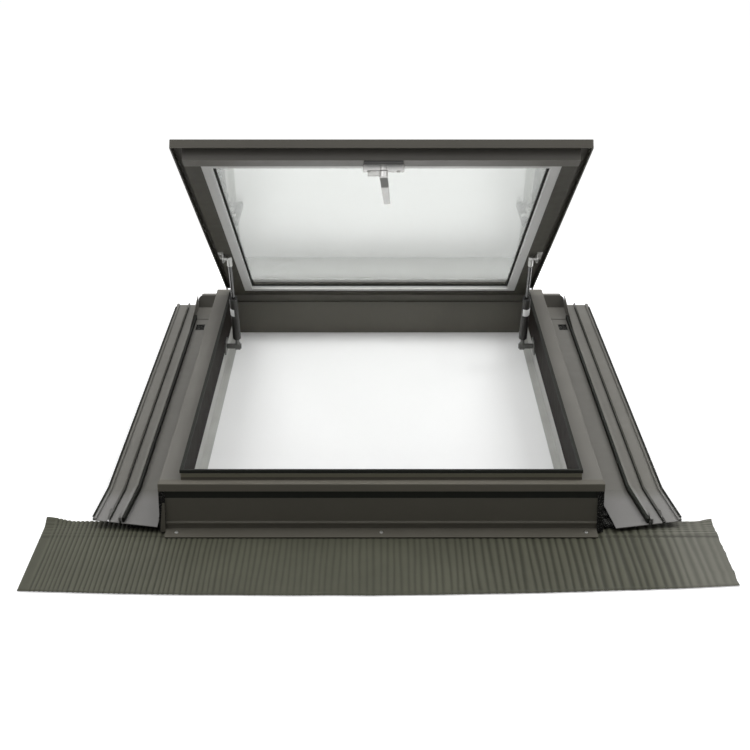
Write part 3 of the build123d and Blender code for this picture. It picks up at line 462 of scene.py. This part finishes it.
join(screw_tree, (screw_in, "Geometry"), (screw_set, "Points"))
join(screw_tree, (screw_head, "Geometry"), (screw_set, "Instance"))
join(screw_tree, (screw_spin, 0), (screw_set, "Rotation"))
join(screw_tree, (screw_in, "Size"), (screw_set, "Scale"))


def finish_tree(tree, shape, material):
    """End a geometry tree: make its instances real, give them a material and put them out."""
    real = tree.nodes.new("GeometryNodeRealizeInstances")
    join(tree, (shape, 0), (real, 0))
    look = tree.nodes.new("GeometryNodeSetMaterial")
    look.inputs["Material"].default_value = material
    join(tree, (real, 0), (look, 0))
    join(tree, (look, 0), (tree.nodes.new("NodeGroupOutput"), 0))


finish_tree(screw_tree, screw_set, screw_steel)
screw_pattern = pan_head("screw_pattern", radius=0.0034, rise=0.0015)


def screw_run(name, places, size, seed):
    """Screws at (place, facing) pairs, as one plain mesh."""
    dots = bpy.data.meshes.new(name)
    dots.from_pydata([place for place, _ in places], [], [])
    facing = dots.attributes.new("facing", "FLOAT_VECTOR", "POINT")
    for i, (_, toward) in enumerate(places):
        facing.data[i].vector = toward
    run = placed(name, dots)
    maker = run.modifiers.new("screws", "NODES")
    maker.node_group = screw_tree
    maker[screw_sockets["Head"]] = screw_pattern
    maker[screw_sockets["Size"]] = size
    maker[screw_sockets["Seed"]] = seed
    return settled(run)


flange_drop, flange_reach = 0.005, 0.028
flange_slope = math.atan2(flange_drop, flange_reach)
flange_up = (0, -math.sin(flange_slope), math.cos(flange_slope))
flange_y, flange_top = -0.588, 0.0077
cover_screw_run = screw_run(
    "cover_screw_run", [((x, flange_y, flange_top), flange_up) for x in (-0.3595, 0, 0.3595)],
    size=1.0, seed=4)
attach(cover_screw_run, "frame")
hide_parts("cover_screws")


# Foam closures: blocks of dark closed-cell foam cut off rough, pressed in beside the cover's ends. The dark
# blocks under the tips and the slots of the side flashing are painted shade, standing for the shade under the
# sheet.
foam_cells, cells_in, cells_out = new_group(
    "foam cells",
    (("Colour", colour, (0.045, 0.045, 0.042, 1)), ("Cell Scale", number, 420.0)),
    (("Colour", colour), ("Roughness", number), ("Height", number)))
cells_place = foam_cells.nodes.new("ShaderNodeTexCoord").outputs["Object"]
cells_pores = foam_cells.nodes.new("ShaderNodeTexVoronoi")
foam_cells.links.new(cells_place, cells_pores.inputs["Vector"])
join(foam_cells, (cells_in, "Cell Scale"), (cells_pores, "Scale"))
cells_tone = foam_cells.nodes.new("ShaderNodeHueSaturation")
foam_cells.links.new(ramp(foam_cells, cells_pores.outputs["Distance"], 0.08, 0.42, 4.5, 0.4),
                     cells_tone.inputs["Value"])
join(foam_cells, (cells_in, "Colour"), (cells_tone, "Color"))
join(foam_cells, (cells_tone, "Color"), (cells_out, "Colour"))
foam_cells.links.new(ramp(foam_cells, cells_pores.outputs["Distance"], 0.0, 0.8, 0.7, 0.95),
                     cells_out.inputs["Roughness"])
join(foam_cells, (cells_pores, "Distance"), (cells_out, "Height"))
dark_foam = finish_of("dark_foam", foam_cells, 0.0012, {"Cell Scale": 380.0}, Specular_IOR_Level=0.1)
dress(dark_foam, "corner_foam")


def rough_cut(name, boxes, step, tear, seed):
    """Foam blocks between pairs of corners, with their faces torn by up to a small depth."""
    dice = random.Random(seed)
    foam = bmesh.new()
    for low, high in boxes:
        block = bmesh.new()
        bmesh.ops.create_cube(block, size=1.0)
        for corner in block.verts:
            corner.co = Vector([(a + b) / 2 + (b - a) * c for a, b, c in zip(low, high, corner.co)])
        cuts = max(int(max(b - a for a, b in zip(low, high)) / step), 1)
        bmesh.ops.subdivide_edges(block, edges=block.edges, cuts=cuts, use_grid_fill=True)
        for corner in block.verts:
            corner.co -= corner.normal * tear * dice.random()
        part = bpy.data.meshes.new("block")
        block.to_mesh(part)
        block.free()
        foam.from_mesh(part)
        bpy.data.meshes.remove(part)
    mesh = bpy.data.meshes.new(name)
    foam.to_mesh(mesh)
    foam.free()
    mesh.materials.append(dark_foam)
    return placed(name, mesh)


# The first block is the closure beside the cover's end; the others, under the slot and the tip, are painted
# shade.
closure_and_shade_blocks = (  # the right side's blocks by their low and high corners; the left side mirrors them
    ((0.379, -0.5785, 0.004), (0.3898, -0.5755, 0.082)),
    ((0.4150, 0.460, 0.0220), (0.4520, 0.530, 0.0298)),
    ((0.3925, -0.562, 0.0042), (0.4500, -0.535, 0.0112)),
    ((0.3905, -0.533, 0.0010), (0.4300, -0.470, 0.0160)))
foam_faces = []
for side in (-1, 1):
    for low, high in closure_and_shade_blocks:
        ends = sorted((side * low[0], side * high[0]))
        foam_faces.append(((ends[0], low[1], low[2]), (ends[1], high[1], high[2])))
foam_edges = rough_cut("foam_edges", foam_faces, step=0.0035, tear=0.0018, seed=7)
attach(foam_edges, "frame")


# Apron: soft coil-coated aluminium, rolled into pleats that are close on the left and wide on the right, so
# that it can be dressed over the tiles; a line is pressed along it before the curb, and its back corners are
# bent up.
apron_paint = coated("apron_paint", (0.075, 0.076, 0.053), roughness=0.6, dust=0.06, shine=0.2,
                     skin_depth=0.0003, Mottle=0.3)
apron_sizes = (("Width", 1.188), ("Shift", -0.0035), ("Back", -0.529), ("Corner Front", -0.7895),
               ("Bow", 0.0245), ("Skew", 0.0095), ("Left Pitch", 0.0076), ("Right Pitch", 0.0150),
               ("Relief", 0.0008), ("Line", -0.5935), ("Lift", 0.0022), ("Curl", 0.009))
apron_columns, apron_rows, apron_row_power = 800, 46, 1.35
apron_thickness = 0.0008
fray_scale, fray_start, fray_reach = 7.0, 0.44, 0.009  # the right edge's wander
ripple_scale, ripple_stretch, ripple_reach = 9.0, 0.05, 0.006  # the front edge's wander
slip_scale, slip_stretch, slip_share, ripple_share = 52.0, 0.012, 0.8, 1.2  # pleats out of step
margin_start, margin_end = 0.575, 0.585  # the side edges are flat
corner_front, corner_back, right_share = -0.556, -0.527, 0.6  # the corners' bend
line_width, cross_pitch = 0.0028, 0.0085  # the pressed line, and the rolled lines behind it
notch_half, notch_front = 0.3769, -0.5549  # cut out round the curb
apron_tree = bpy.data.node_groups.new("apron pleats", "GeometryNodeTree")
apron_sockets = {label: apron_tree.interface.new_socket(label, in_out="INPUT", socket_type=number).identifier
                 for label, _ in apron_sizes}
apron_tree.interface.new_socket("Geometry", in_out="OUTPUT", socket_type="NodeSocketGeometry")
apron_given = apron_tree.nodes.new("NodeGroupInput").outputs


def apron_sum(operation, *values):
    """A Math node in the apron's tree."""
    return reckon(apron_tree, operation, *values)


def apron_point(**parts):
    """A vector in the apron's tree from some of its parts."""
    node = apron_tree.nodes.new("ShaderNodeCombineXYZ")
    for label, value in parts.items():
        apron_tree.links.new(value, node.inputs[label])
    return node.outputs[0]


def apron_parts():
    """The parts of the position that the apron's points have at this stage of its tree."""
    node = apron_tree.nodes.new("ShaderNodeSeparateXYZ")
    join(apron_tree, (apron_tree.nodes.new("GeometryNodeInputPosition"), 0), (node, 0))
    return node.outputs


# Outline: a unit grid is drawn out to the bowed, skewed sheet with a frayed right edge.
apron_grid = apron_tree.nodes.new("GeometryNodeMeshGrid")
apron_grid.inputs["Vertices X"].default_value = apron_columns
apron_grid.inputs["Vertices Y"].default_value = apron_rows
apron_at = apron_parts()
across = apron_at["X"]
apron_down = apron_sum("POWER", apron_sum("SUBTRACT", 0.5, apron_at["Y"]), apron_row_power)
apron_tear = noise(apron_tree, apron_point(X=apron_down), fray_scale, 2.0)
apron_fray = apron_sum("MULTIPLY", apron_sum("SUBTRACT", apron_tear, 0.5),
                       ramp(apron_tree, across, fray_start, 0.5, 0.0, fray_reach))
apron_even = apron_sum("MULTIPLY_ADD", across, apron_given["Width"], apron_given["Shift"])
apron_x = apron_sum("ADD", apron_even, apron_fray)
apron_arch = apron_sum("MULTIPLY_ADD", apron_sum("MULTIPLY", across, across), -4.0, 1.0)
apron_swell = apron_sum("MULTIPLY", apron_arch, apron_given["Bow"])
apron_turn = apron_sum("MULTIPLY", apron_sum("MULTIPLY", across, 2.0), apron_given["Skew"])
apron_front = apron_sum("SUBTRACT", apron_sum("ADD", apron_given["Corner Front"], apron_turn), apron_swell)
apron_spot = apron_point(X=apron_x, Y=apron_sum("MULTIPLY", apron_down, ripple_stretch))
apron_ripple = apron_sum("SUBTRACT", noise(apron_tree, apron_spot, ripple_scale, 2.0), 0.5)
apron_edge = apron_sum("MULTIPLY_ADD", apron_ripple, ripple_reach, apron_front)
apron_run = apron_sum("SUBTRACT", apron_edge, apron_given["Back"])
apron_y = apron_sum("MULTIPLY_ADD", apron_run, apron_down, apron_given["Back"])

# Pleats: their pitch grows evenly from left to right, each is a little out of step, and their depth varies.
apron_gain = apron_sum("DIVIDE", apron_sum("SUBTRACT", apron_given["Right Pitch"], apron_given["Left Pitch"]),
                       apron_given["Width"])
apron_in = apron_sum("MULTIPLY", apron_sum("ADD", across, 0.5), apron_given["Width"])
apron_rate = apron_sum("DIVIDE", apron_gain, apron_given["Left Pitch"])
apron_grow = apron_sum("MULTIPLY_ADD", apron_in, apron_rate, 1.0)
apron_phase = apron_sum("DIVIDE", apron_sum("LOGARITHM", apron_grow, math.e), apron_gain)
apron_lane = apron_point(X=apron_x, Y=apron_sum("MULTIPLY", apron_down, slip_stretch))
apron_slip = apron_sum("MULTIPLY", apron_sum("SUBTRACT", noise(apron_tree, apron_lane, slip_scale, 1.0), 0.5),
                       slip_share)
apron_step = apron_sum("ADD", apron_sum("MULTIPLY_ADD", apron_ripple, ripple_share, apron_phase), apron_slip)
apron_swing = apron_sum("SINE", apron_sum("MULTIPLY", apron_step, math.tau))
apron_valley = apron_sum("POWER", apron_sum("MULTIPLY_ADD", apron_swing, -0.5, 0.5),
                         ramp(apron_tree, across, -0.1, 0.35, 2.4, 1.1))
apron_wave = apron_sum("MULTIPLY_ADD", apron_valley, -2.0, 1.0)
apron_depth = apron_tree.nodes.new("ShaderNodeFloatCurve")
apron_curve = apron_depth.mapping.curves[0]
apron_curve.points[0].location = (0.0, 0.9)
apron_curve.points[1].location = (1.0, 0.15)
for share, strength in ((0.14, 1.0), (0.26, 0.55), (0.38, 0.3), (0.52, 0.32),
                        (0.66, 0.6), (0.85, 0.9), (0.93, 0.4)):
    apron_curve.points.new(share, strength)
apron_depth.mapping.update()
apron_tree.links.new(apron_sum("ADD", across, 0.5), apron_depth.inputs["Value"])
apron_beside = apron_sum("ABSOLUTE", apron_x)
apron_margin = ramp(apron_tree, apron_beside, margin_start, margin_end, 1.0, 0.0)
apron_ease = apron_sum("MULTIPLY", apron_margin, ramp(apron_tree, apron_down, 0.95, 1.0, 1.0, 0.3))
apron_rib = apron_sum("MULTIPLY", apron_sum("MULTIPLY", apron_wave, apron_depth.outputs[0]), apron_ease)
apron_off = apron_sum("DIVIDE", apron_sum("SUBTRACT", apron_y, apron_given["Line"]), line_width)
apron_groove = apron_sum("EXPONENT", apron_sum("MULTIPLY", apron_sum("MULTIPLY", apron_off, apron_off), -1.0))
apron_behind = ramp(apron_tree, apron_off, 0.5, 3.0)
apron_cross = apron_sum("MULTIPLY", apron_sum("SINE", apron_sum("MULTIPLY", apron_y, math.tau / cross_pitch)),
                        apron_behind)
apron_pressed = apron_sum("MULTIPLY_ADD", apron_groove, -1.1, apron_rib)
apron_form = apron_sum("MULTIPLY_ADD", apron_cross, 0.45, apron_pressed)
apron_bent = apron_sum("ADD", ramp(apron_tree, apron_x, -0.597, -0.545, 1.0, 0.0),
                       ramp(apron_tree, apron_x, 0.560, 0.592, 0.0, right_share))
apron_curl = apron_sum("MULTIPLY", apron_bent, ramp(apron_tree, apron_y, corner_front, corner_back))
apron_rise = apron_sum("MULTIPLY_ADD", apron_curl, apron_given["Curl"], apron_given["Lift"])
apron_z = apron_sum("MULTIPLY_ADD", apron_form, apron_given["Relief"], apron_rise)

# The relief is stored for the coat's painted shade in the valleys before the points move; the notch for the
# curb is cut out after.
apron_keep = apron_tree.nodes.new("GeometryNodeStoreNamedAttribute")
apron_keep.inputs["Name"].default_value = "pleat"
join(apron_tree, (apron_grid, 0), (apron_keep, "Geometry"))
apron_tree.links.new(apron_form, apron_keep.inputs["Value"])
apron_set = apron_tree.nodes.new("GeometryNodeSetPosition")
join(apron_tree, (apron_keep, 0), (apron_set, "Geometry"))
apron_tree.links.new(apron_point(X=apron_x, Y=apron_y, Z=apron_z), apron_set.inputs["Position"])
apron_now = apron_parts()
apron_notch = apron_sum("MULTIPLY", apron_sum("LESS_THAN", apron_sum("ABSOLUTE", apron_now["X"]), notch_half),
                        apron_sum("GREATER_THAN", apron_now["Y"], notch_front))
apron_cut = apron_tree.nodes.new("GeometryNodeDeleteGeometry")
join(apron_tree, (apron_set, 0), (apron_cut, "Geometry"))
apron_tree.links.new(apron_notch, apron_cut.inputs["Selection"])
apron_smooth = apron_tree.nodes.new("GeometryNodeSetShadeSmooth")
join(apron_tree, (apron_cut, 0), (apron_smooth, "Geometry"))
finish_tree(apron_tree, apron_smooth, apron_paint)
pleated_apron = placed("pleated_apron", bpy.data.meshes.new("pleated_apron"))
apron_maker = pleated_apron.modifiers.new("pleats", "NODES")
apron_maker.node_group = apron_tree
for label, size in apron_sizes:
    apron_maker[apron_sockets[label]] = size
apron_wall = pleated_apron.modifiers.new("sheet", "SOLIDIFY")
apron_wall.thickness = apron_thickness
apron_wall.offset = -1.0
settled(pleated_apron)
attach(pleated_apron, "frame")
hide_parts("apron")

# The coat is paler towards the right end, and is painted darker in the valleys of the pleats as painted
# shade.
apron_coat = apron_paint.node_tree
apron_shader = apron_coat.nodes["Principled BSDF"]
apron_spread = apron_coat.nodes.new("ShaderNodeSeparateXYZ")
join(apron_coat, (apron_coat.nodes.new("ShaderNodeTexCoord"), "Object"), (apron_spread, 0))
apron_crest = apron_coat.nodes.new("ShaderNodeAttribute")
apron_crest.attribute_name = "pleat"
end_start, end_full, end_share = 0.44, 0.55, 0.62
valley_shade_low, valley_shade_high, valley_shade_share = -0.9, 0.7, 0.70
apron_pale = blend_colours(
    apron_coat, ramp(apron_coat, apron_spread.outputs["X"], end_start, end_full, 0.0, end_share),
    apron_shader.inputs["Base Color"].links[0].from_socket, (0.235, 0.232, 0.200, 1))
apron_valley_shade = ramp(apron_coat, apron_crest.outputs["Fac"], valley_shade_low, valley_shade_high, valley_shade_share, 0.0)
apron_coat.links.new(blend_colours(apron_coat, apron_valley_shade, apron_pale, (0.016, 0.016, 0.011, 1)),
                     apron_shader.inputs["Base Color"])


# Side and head flashing: thin coil-coated sheet folded to a pan with a standing seam, a bead and a hem; the
# coat is painted paler where the tips are bent down, as a painted sheen on their slope.
flashing_paint = coated("flashing_paint", (0.137, 0.132, 0.117), roughness=0.5, dust=0.1, shine=0.25)
dress(flashing_paint, "flashing_left", "flashing_right", "flashing_head")
# Painted highlight: the tips are painted paler for the sheen they catch.
tip_sheen_from, tip_sheen_to = 0.445, 0.50  # how far to the front the coat turns pale
retint(flashing_paint, ("ShaderNodeTexCoord", "Object", "Y"), ("MULTIPLY", -1.0), tip_sheen_from, tip_sheen_to,
       (0.225, 0.220, 0.212, 1))

# The tips are slit beside the seam and the small bead; a tongue behind each slit leaves only its end open.
tip_bend, tip_end, tip_length, pan_height = -0.456, -0.580, 0.124, 0.030
left_drop, right_drop = 0.0166, 0.0216  # how far the tips reach down
tongue_half, tongue_back = 0.003, -0.5185
tongue_depths = (0.0006, 0.00005)  # its faces, under the pan's upper face
tongue_rings = []
for sign, slit, end, drop in ((-1, 0.4606, -0.5580, left_drop), (-1, 0.4833, -0.5535, left_drop),
                              (1, 0.4741, -0.5560, right_drop), (1, 0.4993, -0.5510, right_drop)):
    left, right = sorted((sign * (slit - tongue_half), sign * (slit + tongue_half)))
    low, high = [pan_height - drop * (tip_bend - place) / tip_length for place in (end, tongue_back)]
    tongue_rings.append([level_ring(left, right, end, tongue_back, low - depth, high - depth)
                         for depth in tongue_depths])
slit_tongues = slabs("slit_tongues", flashing_paint, tongue_rings)
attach(slit_tongues, "frame")

# Black beads lie along the seam's foot, along the small bead and on the hem, from the gutter to the tips;
# they are painted shade, standing for the dark shade lines in these folds.
bead_tree = bpy.data.node_groups.new("shade bead", "GeometryNodeTree")
bead_tree.interface.new_socket("Geometry", in_out="INPUT", socket_type="NodeSocketGeometry")
bead_sockets = {label: bead_tree.interface.new_socket(label, in_out="INPUT", socket_type=number).identifier
                for label in ("Width", "Height")}
bead_tree.interface.new_socket("Geometry", in_out="OUTPUT", socket_type="NodeSocketGeometry")
bead_given = bead_tree.nodes.new("NodeGroupInput")
bead_path = bead_tree.nodes.new("GeometryNodeMeshToCurve")
join(bead_tree, (bead_given, "Geometry"), (bead_path, 0))
bead_upright = bead_tree.nodes.new("GeometryNodeSetCurveNormal")
bead_upright.mode = "Z_UP"
join(bead_tree, (bead_path, 0), (bead_upright, 0))
bead_section = bead_tree.nodes.new("GeometryNodeCurvePrimitiveQuadrilateral")
join(bead_tree, (bead_given, "Width"), (bead_section, "Width"))
join(bead_tree, (bead_given, "Height"), (bead_section, "Height"))
bead_round = bead_tree.nodes.new("GeometryNodeFilletCurve")
bead_round.mode = "POLY"
bead_round.inputs["Count"].default_value = 3
bead_radius = reckon(bead_tree, "MULTIPLY", bead_given.outputs["Width"], 0.35)
bead_tree.links.new(bead_radius, bead_round.inputs["Radius"])
join(bead_tree, (bead_section, 0), (bead_round, "Curve"))
bead_sweep = bead_tree.nodes.new("GeometryNodeCurveToMesh")
bead_sweep.inputs["Fill Caps"].default_value = True
join(bead_tree, (bead_upright, 0), (bead_sweep, "Curve"))
join(bead_tree, (bead_round, 0), (bead_sweep, "Profile Curve"))
finish_tree(bead_tree, bead_sweep, seal_rubber)
tip_inner, bead_short = 0.3915, 0.002  # the tips' inner edge; a bead ends this far before the tip's edge
for bead_name, bead_step, bead_in, bead_width, bead_height, bead_z, bead_start in (
        ("seam_beads", 0.0, -0.0038, 0.0052, 0.0092, 0.0360, 0.560),
        ("ridge_beads", 0.42, 0.0, 0.0024, 0.0032, 0.0329, 0.640),
        ("hem_beads", 1.0, -0.0004, 0.0034, 0.0016, 0.0360, 0.640)):
    bead_spots = []
    for sign, seam, step, drop, skew, flare in ((-1, 0.4440, 0.053, left_drop, 0.024, 0.017),
                                                (1, 0.4525, 0.059, right_drop, 0.028, 0.027)):
        out = seam + bead_in + bead_step * step
        cut = skew * (out + flare - tip_inner) / (seam + step + flare - tip_inner) + bead_short
        share = 1 - cut / tip_length
        bead_spots += [(sign * out, bead_start, bead_z), (sign * out, tip_bend, bead_z),
                       (sign * (out + flare * share), tip_end + cut, bead_z - drop * share)]
    bead_line = bpy.data.meshes.new(bead_name)
    bead_line.from_pydata(bead_spots, [(0, 1), (1, 2), (3, 4), (4, 5)], [])
    bead_run = placed(bead_name, bead_line)
    bead_maker = bead_run.modifiers.new("bead", "NODES")
    bead_maker.node_group = bead_tree
    bead_maker[bead_sockets["Width"]] = bead_width
    bead_maker[bead_sockets["Height"]] = bead_height
    settled(bead_run)
    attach(bead_run, "frame")


# Hinges: two dark painted steel butts with bright pins. The frame leaf of each lies on the rear ledge, held
# by three cross-headed screws.
hinge_paint = coated("hinge_paint", (0.09, 0.084, 0.072), roughness=0.5, dust=0.12, shine=0.25)
dress(hinge_paint, "hinge_frame_leaves", "hinge_lid_leaves")
pin_steel = drawn("pin_steel", (0.55, 0.55, 0.54), grain=(5.0, 600.0, 600.0), roughness=0.3, metallic=1.0,
                  skin_depth=0.00005)
dress(pin_steel, "hinge_pins")
leaf_x, leaf_y, leaf_top = 0.23, 0.583, 0.0955
hinge_screw_run = screw_run("hinge_screw_run", [((side * leaf_x + step, leaf_y, leaf_top), (0, 0, 1))
                                                for side in (-1, 1) for step in (-0.034, 0, 0.034)],
                            size=1.05, seed=11)
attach(hinge_screw_run, "frame")


# Lid: a pressed cover frame over four hollow sash bars, coated darker than the curb. The rear and side bars
# are painted darker still as painted shade; the front bar is a smoother profile, painted paler as painted
# light.
lid_paint = coated("lid_paint", (0.086, 0.081, 0.067), roughness=0.48, dust=0.08, shine=0.3)
dress(lid_paint, "lid_cover")
# Painted shade: the rear and side bars are painted darker.
bar_shaded_paint = coated("bar_shaded_paint", (0.058, 0.055, 0.043), roughness=0.5, dust=0.05, shine=0.22)
dress(bar_shaded_paint, "sash_rear", "sash_left", "sash_right")
# Painted light: the front bar is painted paler.
sash_lit_paint = coated("sash_lit_paint", (0.155, 0.148, 0.130), roughness=0.4, dust=0.05, shine=0.5,
                    skin_depth=0.0001)
dress(sash_lit_paint, "sash_front")


# Glazing: two clear float panes round a hollow spacer of dark anodised aluminium, bedded on rubber and held
# by bright aluminium beads.
float_glass = bpy.data.materials.new("float_glass")
float_glass.use_nodes = True
glass_tree = float_glass.node_tree
glass_shader = glass_tree.nodes["Principled BSDF"]
glass_shader.inputs["Base Color"].default_value = (0.925, 0.938, 0.925, 1.0)
glass_shader.inputs["Roughness"].default_value = 0.03
glass_shader.inputs["IOR"].default_value = 1.5
glass_shader.inputs["Transmission Weight"].default_value = 1.0
glass_clear = glass_tree.nodes.new("ShaderNodeBsdfTransparent")
glass_clear.inputs["Color"].default_value = (0.92, 0.92, 0.92, 1.0)
glass_mix = glass_tree.nodes.new("ShaderNodeMixShader")
glass_path = glass_tree.nodes.new("ShaderNodeLightPath")
join(glass_tree, (glass_path, "Is Shadow Ray"), (glass_mix, 0))
join(glass_tree, (glass_shader, 0), (glass_mix, 1))
join(glass_tree, (glass_clear, 0), (glass_mix, 2))
join(glass_tree, (glass_mix, 0), (glass_tree.nodes["Material Output"], "Surface"))
dress(float_glass, "outer_pane", "inner_pane")
bead_metal = drawn("bead_metal", (0.74, 0.74, 0.725), grain=(260.0, 260.0, 260.0), roughness=0.42,
                   metallic=0.35, skin_depth=0.0001, contrast=0.12)
dress(bead_metal, "bead_front", "bead_rear", "bead_left", "bead_right")
spacer_metal = drawn("spacer_metal", (0.075, 0.070, 0.058), grain=(260.0, 260.0, 260.0), roughness=0.5,
                     metallic=0.2, skin_depth=0.0001, contrast=0.15)
dress(spacer_metal, "glass_spacer")
dress(seal_rubber, "outer_gasket", "inner_gasket")


# Gas struts: black painted steel tubes with a plated rod and plastic guide caps; the fittings and lid
# brackets are zinc plated, the eyes, pins and wall brackets dark steel. Each tube carries a blank foil label
# near its mouth.
tube_paint = coated("tube_paint", (0.030, 0.029, 0.026), roughness=0.42, dust=0.04, shine=0.3,
                    skin_depth=0.0001)
dress(tube_paint, "strut_tube_left", "strut_tube_right")
cap_plastic = coated("cap_plastic", (0.02, 0.02, 0.02), roughness=0.5, dust=0.05, shine=0.5,
                     Skin_Scale=1400.0)
dress(cap_plastic, "strut_cap_left", "strut_cap_right")
rod_steel = drawn("rod_steel", (0.17, 0.17, 0.17), grain=(800.0, 10.0, 10.0), roughness=0.22, metallic=1.0,
                  skin_depth=0.00003)
dress(rod_steel, "strut_rod_left", "strut_rod_right")
zinc_plate = drawn("zinc_plate", (0.58, 0.58, 0.56), grain=(180.0, 180.0, 180.0), roughness=0.36,
                   metallic=0.75, skin_depth=0.00008, contrast=0.5)
dress(zinc_plate, "strut_lid_brackets", "strut_fitting_left", "strut_fitting_right")
foot_steel = drawn("foot_steel", (0.16, 0.16, 0.15), grain=(180.0, 180.0, 180.0), roughness=0.42,
                   metallic=0.6, skin_depth=0.00008, contrast=0.6)
dress(foot_steel, "strut_frame_brackets", "strut_eye_left", "strut_eye_right", "strut_pins")
label_foil = drawn("label_foil", (0.82, 0.82, 0.81), grain=(60.0, 60.0, 60.0), roughness=0.45,
                   metallic=0.0, skin_depth=0.00004, contrast=0.1)
strut_lean = math.radians(30.56344910823593)
strut_x, strut_y, strut_z = 0.322, 0.331, 0.040  # the struts' lower pivots
label_radius, label_film, label_columns = 0.00905, 0.00015, 16
label_heights = (0.110, 0.1175, 0.125, 0.132)
for side, sign, first, last in (("left", -1, -0.05, 1.5), ("right", 1, -0.8, 1.4)):
    wrap = bmesh.new()
    stand = Matrix.Translation((sign * strut_x, strut_y, strut_z)) @ Matrix.Rotation(strut_lean, 4, "X")
    rows = []
    for height in label_heights:
        row = []
        for i in range(label_columns + 1):
            angle = first + (last - first) * i / label_columns
            row.append(wrap.verts.new(stand @ Vector((sign * label_radius * math.sin(angle),
                                                      -label_radius * math.cos(angle), height))))
        rows.append(row)
    for low, high in zip(rows, rows[1:]):
        for i in range(label_columns):
            ring = (low[i], low[i + 1], high[i + 1], high[i])
            wrap.faces.new(ring if sign > 0 else ring[::-1])
    foil = bpy.data.meshes.new("strut_label_" + side)
    wrap.to_mesh(foil)
    wrap.free()
    foil.materials.append(label_foil)
    for face in foil.polygons:
        face.use_smooth = True
    label = placed("strut_label_" + side, foil)
    label_wall = label.modifiers.new("film", "SOLIDIFY")
    label_wall.thickness = label_film
    label_wall.offset = 1.0
    settled(label)
    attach(label, "tube_" + side)
wall_bracket_x = 0.347  # the face of the wall brackets' plates
strut_screw_run = screw_run(
    "strut_screw_run", [((side * wall_bracket_x, strut_y + step, strut_z), (-side, 0, 0))
                        for side in (-1, 1) for step in (-0.017, 0.017)],
    size=0.85, seed=5)
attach(strut_screw_run, "frame")


# Latch: a black pad and a die-cast plate in satin nickel on the front sash, with hub, zinc pawl and blade; a
# grey collar covers the joint of hub and blade. The keeper stands on the front wall.
latch_nickel = drawn("latch_nickel", (0.74, 0.735, 0.72), grain=(700.0, 90.0, 90.0), roughness=0.34,
                     metallic=0.8, skin_depth=0.00005, contrast=0.2)
dress(latch_nickel, "latch_plate", "latch_hub", "latch_handle", "latch_keeper")
dress(zinc_plate, "latch_pawl")
dress(cap_plastic, "latch_pad")
collar_plastic = coated("collar_plastic", (0.38, 0.38, 0.37), roughness=0.5, dust=0.05, shine=0.5,
                        Skin_Scale=1400.0)
dress(collar_plastic, "latch_collar")
lid_pivot = Vector((0, 0.570, 0.107))
lid_swing = Matrix.Rotation(math.radians(-29.33), 3, "X")
lid_down = lid_swing @ Vector((0, 0, -1))


def on_open_lid(place):
    """A place on the shut lid, in metres, swung to the open rest pose."""
    return lid_pivot + lid_swing @ (Vector(place) - lid_pivot)


latch_x, latch_y, latch_low = 0.004, -0.518, 0.0717
latch_screw_run = screw_run("latch_screw_run", [(on_open_lid((latch_x + x, latch_y, latch_low)), lid_down)
                                                for x in (-0.026, 0.026)], size=1.05, seed=2)
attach(latch_screw_run, "lid")
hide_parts("latch_screws")

# The struts' brackets under the side bars have two screws each.
bracket_x, bracket_y, bracket_low = 0.3405, 0.147, 0.0802
lid_screw_run = screw_run(
    "lid_screw_run", [(on_open_lid((side * bracket_x, bracket_y + step, bracket_low)), lid_down)
                      for side in (-1, 1) for step in (-0.019, 0.019)],
    size=0.8, seed=3)
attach(lid_screw_run, "lid")
bpy.data.objects.remove(screw_pattern)
